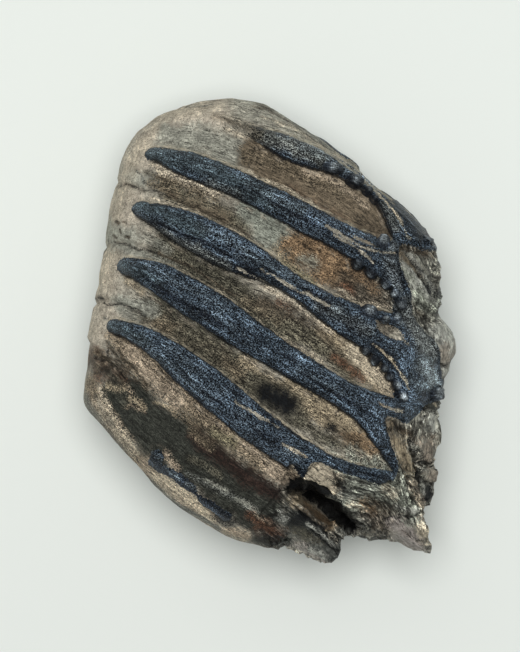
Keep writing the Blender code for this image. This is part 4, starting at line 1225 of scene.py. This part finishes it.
def add_paint(mesh, name, paint):
    add_attribute(mesh, name, "FLOAT_COLOR", np.hstack([paint[:, :3], np.ones((len(paint), 1))]))


def add_surface_attributes(mesh, surface):
    _, tone, crack = slabs(surface)
    shade = np.exp2(tone) * (1 - 0.75 * crack)
    # Painted shade in the cement round the feet of the beads.
    bead_foot_shade = bell(surface.bead_depth + 0.1, 0.22) * (1 - surface.hidden)
    for name, swell in (("ground", -2.2), ("wide ground", 2.2)):
        paint = painted("cement", GROUND, surface, swell)
        # Painted shade also blackens the cavity.
        paint[:, :3] *= (shade * (1 - 0.9 * bead_foot_shade) * (1 - 0.97 * surface.dark))[:, None]
        add_paint(mesh, name, paint)
    glaze = painted("enamel", GLAZE, surface)
    # Painted highlight on the beads' tops, fading into painted shade at their rims.
    beaded = ease(surface.bead_depth, -0.5, 0.1)[:, None]
    lit_bead = np.array(PAINTS["shaded_bead_rim"]) * (1 - surface.bead_light[:, None])
    lit_bead = lit_bead + np.array(PAINTS["lit_bead"]) * surface.bead_light[:, None]
    glaze += (lit_bead - glaze) * beaded
    add_paint(mesh, "glaze", glaze)
    enamel = ease(surface.enamel, -0.2, 0.2)
    numbers = {
        "grit": paint[:, 3] * (1 - enamel) + glaze[:, 3] * enamel,
        "band": np.clip(surface.band, -DEPTH_KEPT, DEPTH_KEPT),
        "enamel": np.clip(surface.enamel, -DEPTH_KEPT, DEPTH_KEPT),
        "side": surface.side,
        "root": surface.root,
        "clean": surface.clean,
        "broken": surface.root * (1 - surface.worn) * (1 - surface.dark),
        "grain": surface.grain,
    }
    for name, values in numbers.items():
        add_attribute(mesh, name, "FLOAT", values)
    add_attribute(mesh, "flow", "FLOAT_VECTOR", surface.flow)


class Wire:
    """A shader socket on which Python's arithmetic adds Math nodes."""

    def __init__(self, tree, socket):
        self.tree = tree
        self.socket = socket

    def math(self, operation, *values):
        return self.tree.node("ShaderNodeMath", {"operation": operation}, dict(enumerate(values)))

    def __add__(self, other):
        return self.math("ADD", self, other)

    def __sub__(self, other):
        return self.math("SUBTRACT", self, other)

    def __rsub__(self, other):
        return self.math("SUBTRACT", other, self)

    def __mul__(self, other):
        return self.math("MULTIPLY", self, other)

    def __rpow__(self, other):
        return self.math("POWER", other, self)

    def __neg__(self):
        return self.math("MULTIPLY", self, -1.0)

    __radd__ = __add__
    __rmul__ = __mul__

    def __abs__(self):
        return self.math("ABSOLUTE", self)

    def at_least(self, least):
        return self.math("MAXIMUM", self, least)

    def ramp(self, start, end):
        """0 at start, 1 at end, and smooth between."""
        settings = {"interpolation_type": "SMOOTHSTEP"}
        values = {"Value": self, "From Min": start, "From Max": end}
        return self.tree.node("ShaderNodeMapRange", settings, values)


class Tree:
    """A material's nodes, made one at a time."""

    def __init__(self, name):
        self.material = bpy.data.materials.new(name)
        self.material.use_nodes = True
        self.nodes = self.material.node_tree.nodes
        self.links = self.material.node_tree.links
        self.shader = self.nodes["Principled BSDF"]

    def node(self, kind, settings=None, values=None, output=0):
        made = self.nodes.new(kind)
        for name, setting in (settings or {}).items():
            setattr(made, name, setting)
        for name, value in (values or {}).items():
            self.feed(made.inputs[name], value)
        return Wire(self, made.outputs[output])

    def feed(self, socket, value):
        if isinstance(value, Wire):
            self.links.new(value.socket, socket)
        else:
            socket.default_value = value

    def mix(self, factor, first, second):
        """Colours mixed by a factor."""
        settings = {"data_type": "RGBA", "clamp_factor": True}
        return self.node("ShaderNodeMix", settings, {0: factor, 6: first, 7: second}, output=2)

    def attributes(self, output, *names):
        """One output of each of these attributes of the mesh."""
        return [self.node("ShaderNodeAttribute", {"attribute_name": name}, output=output) for name in names]

    def scaled(self, vector, size):
        """The vector with each axis multiplied, or all by one wire."""
        operation = "SCALE" if isinstance(size, Wire) else "MULTIPLY"
        key = "Scale" if operation == "SCALE" else 1
        return self.node("ShaderNodeVectorMath", {"operation": operation}, {0: vector, key: size})

    def noise(self, vector, scale, detail=3.0, roughness=0.55):
        values = {"Vector": vector, "Scale": scale, "Detail": detail, "Roughness": roughness}
        return self.node("ShaderNodeTexNoise", None, values)

    def surface(self, **values):
        for name, value in values.items():
            self.feed(self.shader.inputs[name.replace("_", " ")], value)

    def bump(self, height, distance):
        values = {"Height": height, "Distance": distance, "Strength": 1.0}
        self.feed(self.shader.inputs["Normal"], self.node("ShaderNodeBump", None, values))


def fossil_material():
    """Blue-black enamel over cement with stains and splintered roots, with painted light and shade along the
    ridges.
    """
    tree = Tree("fossil enamel and cement")
    place = tree.node("ShaderNodeTexCoord", output="Object")
    ground, wide_ground, glaze = tree.attributes("Color", "ground", "wide ground", "glaze")
    enamel, band, side, clean = tree.attributes("Fac", "enamel", "band", "side", "clean")
    root, broken, grit, grained = tree.attributes("Fac", "root", "broken", "grit", "grain")
    (flow,) = tree.attributes("Vector", "flow")
    fine = tree.noise(place, FINE_SCALE, 2.0, 0.6) - 0.5
    specks = tree.noise(place, SPECK_SCALE, 0.0) - 0.5
    patches = tree.noise(place, PATCH_SCALE)
    blots = tree.noise(place, BLOT_SCALE, 1.0)
    clouds = tree.noise(place, CLOUD_SCALE, 3.0) - 0.5
    streaks = (tree.noise(tree.scaled(flow, STREAKS), 1.0, 4.0, 0.65) - 0.5) * grained
    hairs = (tree.noise(tree.scaled(flow, HAIRS), 1.0, 2.0, 0.6) - 0.5) * grained
    threads = tree.noise(tree.scaled(flow, THREADS), 1.0, 3.0, 0.6) - 0.5
    thread = abs(threads).ramp(0.032, 0.01) * grained
    splits = abs(tree.noise(tree.scaled(flow, SPLITS), 1.0, 5.0, 0.65) - 0.5)

    coat = (enamel + fine * 1.6).ramp(-0.08, 0.08)
    lower = side.ramp(0.1, 0.7)
    upper = (-side).ramp(0.1, 0.7)
    crown = 1 - root
    out = -(band + fine * 1.2)

    stains_and_painted_light = tree.mix((fine + specks).ramp(-0.05, 0.05), ground, wide_ground)
    lines = (streaks * 3.5 + hairs * 4.5) * (0.25 + grit * (0.8 - root * 0.4) + broken * 1.15)
    blotches = clouds * 1.5 + (patches - 0.5) * 2.2 + (blots - 0.5) * (1.0 + grit * 2.4)
    tone = lines + blotches + splits.ramp(0.07, 0.03) * broken * 0.5
    stains_and_painted_light = tree.scaled(stains_and_painted_light, 2 ** tone)
    grains = 1 + (specks * 20.0 + fine * 7.0) * (grit * 0.4 - 0.1).at_least(0.06) * (1 - root * 0.75)
    stains_and_painted_light = tree.scaled(stains_and_painted_light, grains.at_least(0.06))
    # Painted light: paler cement along the upper edge of each ridge, and again below the shadow under its
    # lower edge.
    rim = out.ramp(0.05, 0.3) * out.ramp(1.1, 0.7) * upper * patches.ramp(0.38, 0.58) * crown
    stains_and_painted_light = tree.mix(rim * 0.8, stains_and_painted_light, LIT_RIM_COLOUR)
    lit_lip = out.ramp(0.8, 1.1) * out.ramp(2.4, 1.4) * lower * patches.ramp(0.45, 0.62) * crown
    stains_and_painted_light = tree.mix(lit_lip * 0.6, stains_and_painted_light, LIT_LIP_COLOUR)
    pits = (hairs * 0.6 + fine * 0.5 + specks * 0.4).ramp(-0.1, -0.16) * patches.ramp(0.36, 0.54)
    pits = pits.at_least(thread * patches.ramp(0.42, 0.56)).at_least(splits.ramp(0.016, 0.004) * broken)
    stains_and_painted_light = tree.mix(pits * (0.55 + grit * 0.4), stains_and_painted_light, PIT_COLOUR)
    # Painted shadow: near-black in the cement just below each ridge's lower edge.
    gap = out.ramp(-0.1, 0.15) * out.ramp(0.95, 0.4) * lower * crown * (1 - clean * 0.8)
    stains_and_painted_light = tree.mix(gap * 0.92, stains_and_painted_light, GAP_SHADOW_COLOUR)

    glint = (specks * 20.0 + fine * 4.0) * grit * 0.6
    # Painted shade: the last term darkens each ridge towards its lower edge; the other terms are the enamel's
    # own streaks and clouds.
    shade = streaks * 5.0 + hairs * 3.5 + threads * 5.5 + clouds * 3.0 + 0.1 - side.ramp(-0.1, 0.6) * 0.5
    # Painted shade at the enamel's edges, strongest along the lower edge, joined by the dark threads of the
    # grain.
    edge_shade = enamel.ramp(1.5, 0.3) * (0.35 + lower * 0.65)
    blue = tree.scaled(tree.scaled(glaze, 2 ** shade), (1 + glint).at_least(0.05))
    # Pale specks on the enamel, partly its own speckle and partly painted glints.
    blue = tree.mix((specks + fine * 0.5).ramp(0.17, 0.29) * grit * 0.45, blue, GLINT_SPECK_COLOUR)
    dark = edge_shade.at_least(thread * 0.8)
    blue = tree.mix(dark * 0.85, blue, EDGE_SHADE_COLOUR)

    tree.surface(Base_Color=tree.mix(coat, stains_and_painted_light, blue), Specular_IOR_Level=0.2)
    tree.surface(Roughness=0.75 - coat * 0.33 - root * 0.2)
    height = (fine + specks * (0.4 + coat * 0.5)) * (0.35 + grit * 0.65) + hairs * 0.9 + streaks - pits * 0.15
    tree.bump(height, BUMP_HEIGHT)
    return tree.material


def molar():
    """The finished tooth, and how far it was shifted in mm to lie over the origin."""
    tooth = body()
    join_roots(tooth, roots())
    carve(tooth)
    refine_seen_side(tooth)
    points, surface = add_relief(tooth)
    shift = settle(tooth, points)
    add_surface_attributes(tooth.data, surface)
    tooth.data.shade_smooth()
    tooth.data.materials.clear()
    tooth.data.materials.append(fossil_material())
    return tooth, shift


def sheet_material():
    """The plain pale sheet that the tooth lies on, with painted shade making it darker towards the lower end
    of the frame.
    """
    tree = Tree("pale sheet")
    place = tree.node("ShaderNodeTexCoord", output="Object")
    away = tree.node("ShaderNodeSeparateXYZ", None, {"Vector": place}, output=1)
    tree.surface(Base_Color=tree.mix(away.ramp(*SHEET_REACH), *SHEET_SHADE_COLOURS), Roughness=0.9)
    return tree.material


def floor():
    bm = bmesh.new()
    bmesh.ops.create_grid(bm, x_segments=1, y_segments=1, size=SHEET_HALF_SIZE)
    sheet = mesh_object("floor", bm)
    sheet.data.materials.append(sheet_material())


def studio():
    """An even pale room, a broad lamp overhead and a weaker one from the upper left."""
    world = bpy.data.worlds.new("studio")
    world.use_nodes = True
    background = world.node_tree.nodes["Background"]
    background.inputs["Color"].default_value = ROOM_COLOUR
    background.inputs["Strength"].default_value = ROOM_LIGHT
    bpy.context.scene.world = world
    for strength, to_top, to_left, spread in LAMPS:
        lamp = bpy.data.lights.new("overhead", "SUN")
        lamp.energy = strength
        lamp.angle = np.radians(spread)
        obj = bpy.data.objects.new("overhead", lamp)
        obj.rotation_euler = (-np.radians(to_top), -np.radians(to_left), 0)
        bpy.context.scene.collection.objects.link(obj)
    bpy.context.scene.view_settings.view_transform = "Standard"


def camera(shift):
    """Straight above the tooth, framed as in the photograph."""
    lens = bpy.data.cameras.new("camera")
    lens.sensor_width = SENSOR_WIDTH
    lens.lens = SENSOR_WIDTH * (CAMERA_HEIGHT - WIDEST_LEVEL) * PIXELS_PER_MM / FRAME_SIZE[1]
    lens.clip_end = 100.0
    obj = bpy.data.objects.new("camera", lens)
    obj.location = (Vector((*CAMERA_PLAN, CAMERA_HEIGHT)) + Vector(shift)) * MM
    bpy.context.scene.collection.objects.link(obj)
    bpy.context.scene.camera = obj


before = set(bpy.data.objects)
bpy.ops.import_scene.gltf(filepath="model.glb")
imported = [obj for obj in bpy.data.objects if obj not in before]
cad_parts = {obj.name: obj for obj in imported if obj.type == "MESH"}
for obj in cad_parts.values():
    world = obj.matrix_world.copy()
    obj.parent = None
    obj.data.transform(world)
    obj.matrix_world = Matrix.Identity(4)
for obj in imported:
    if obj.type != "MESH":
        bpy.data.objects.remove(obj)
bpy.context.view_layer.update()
tooth, shift = molar()
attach(tooth, "root")
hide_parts("molar")
floor()
studio()
camera(shift)
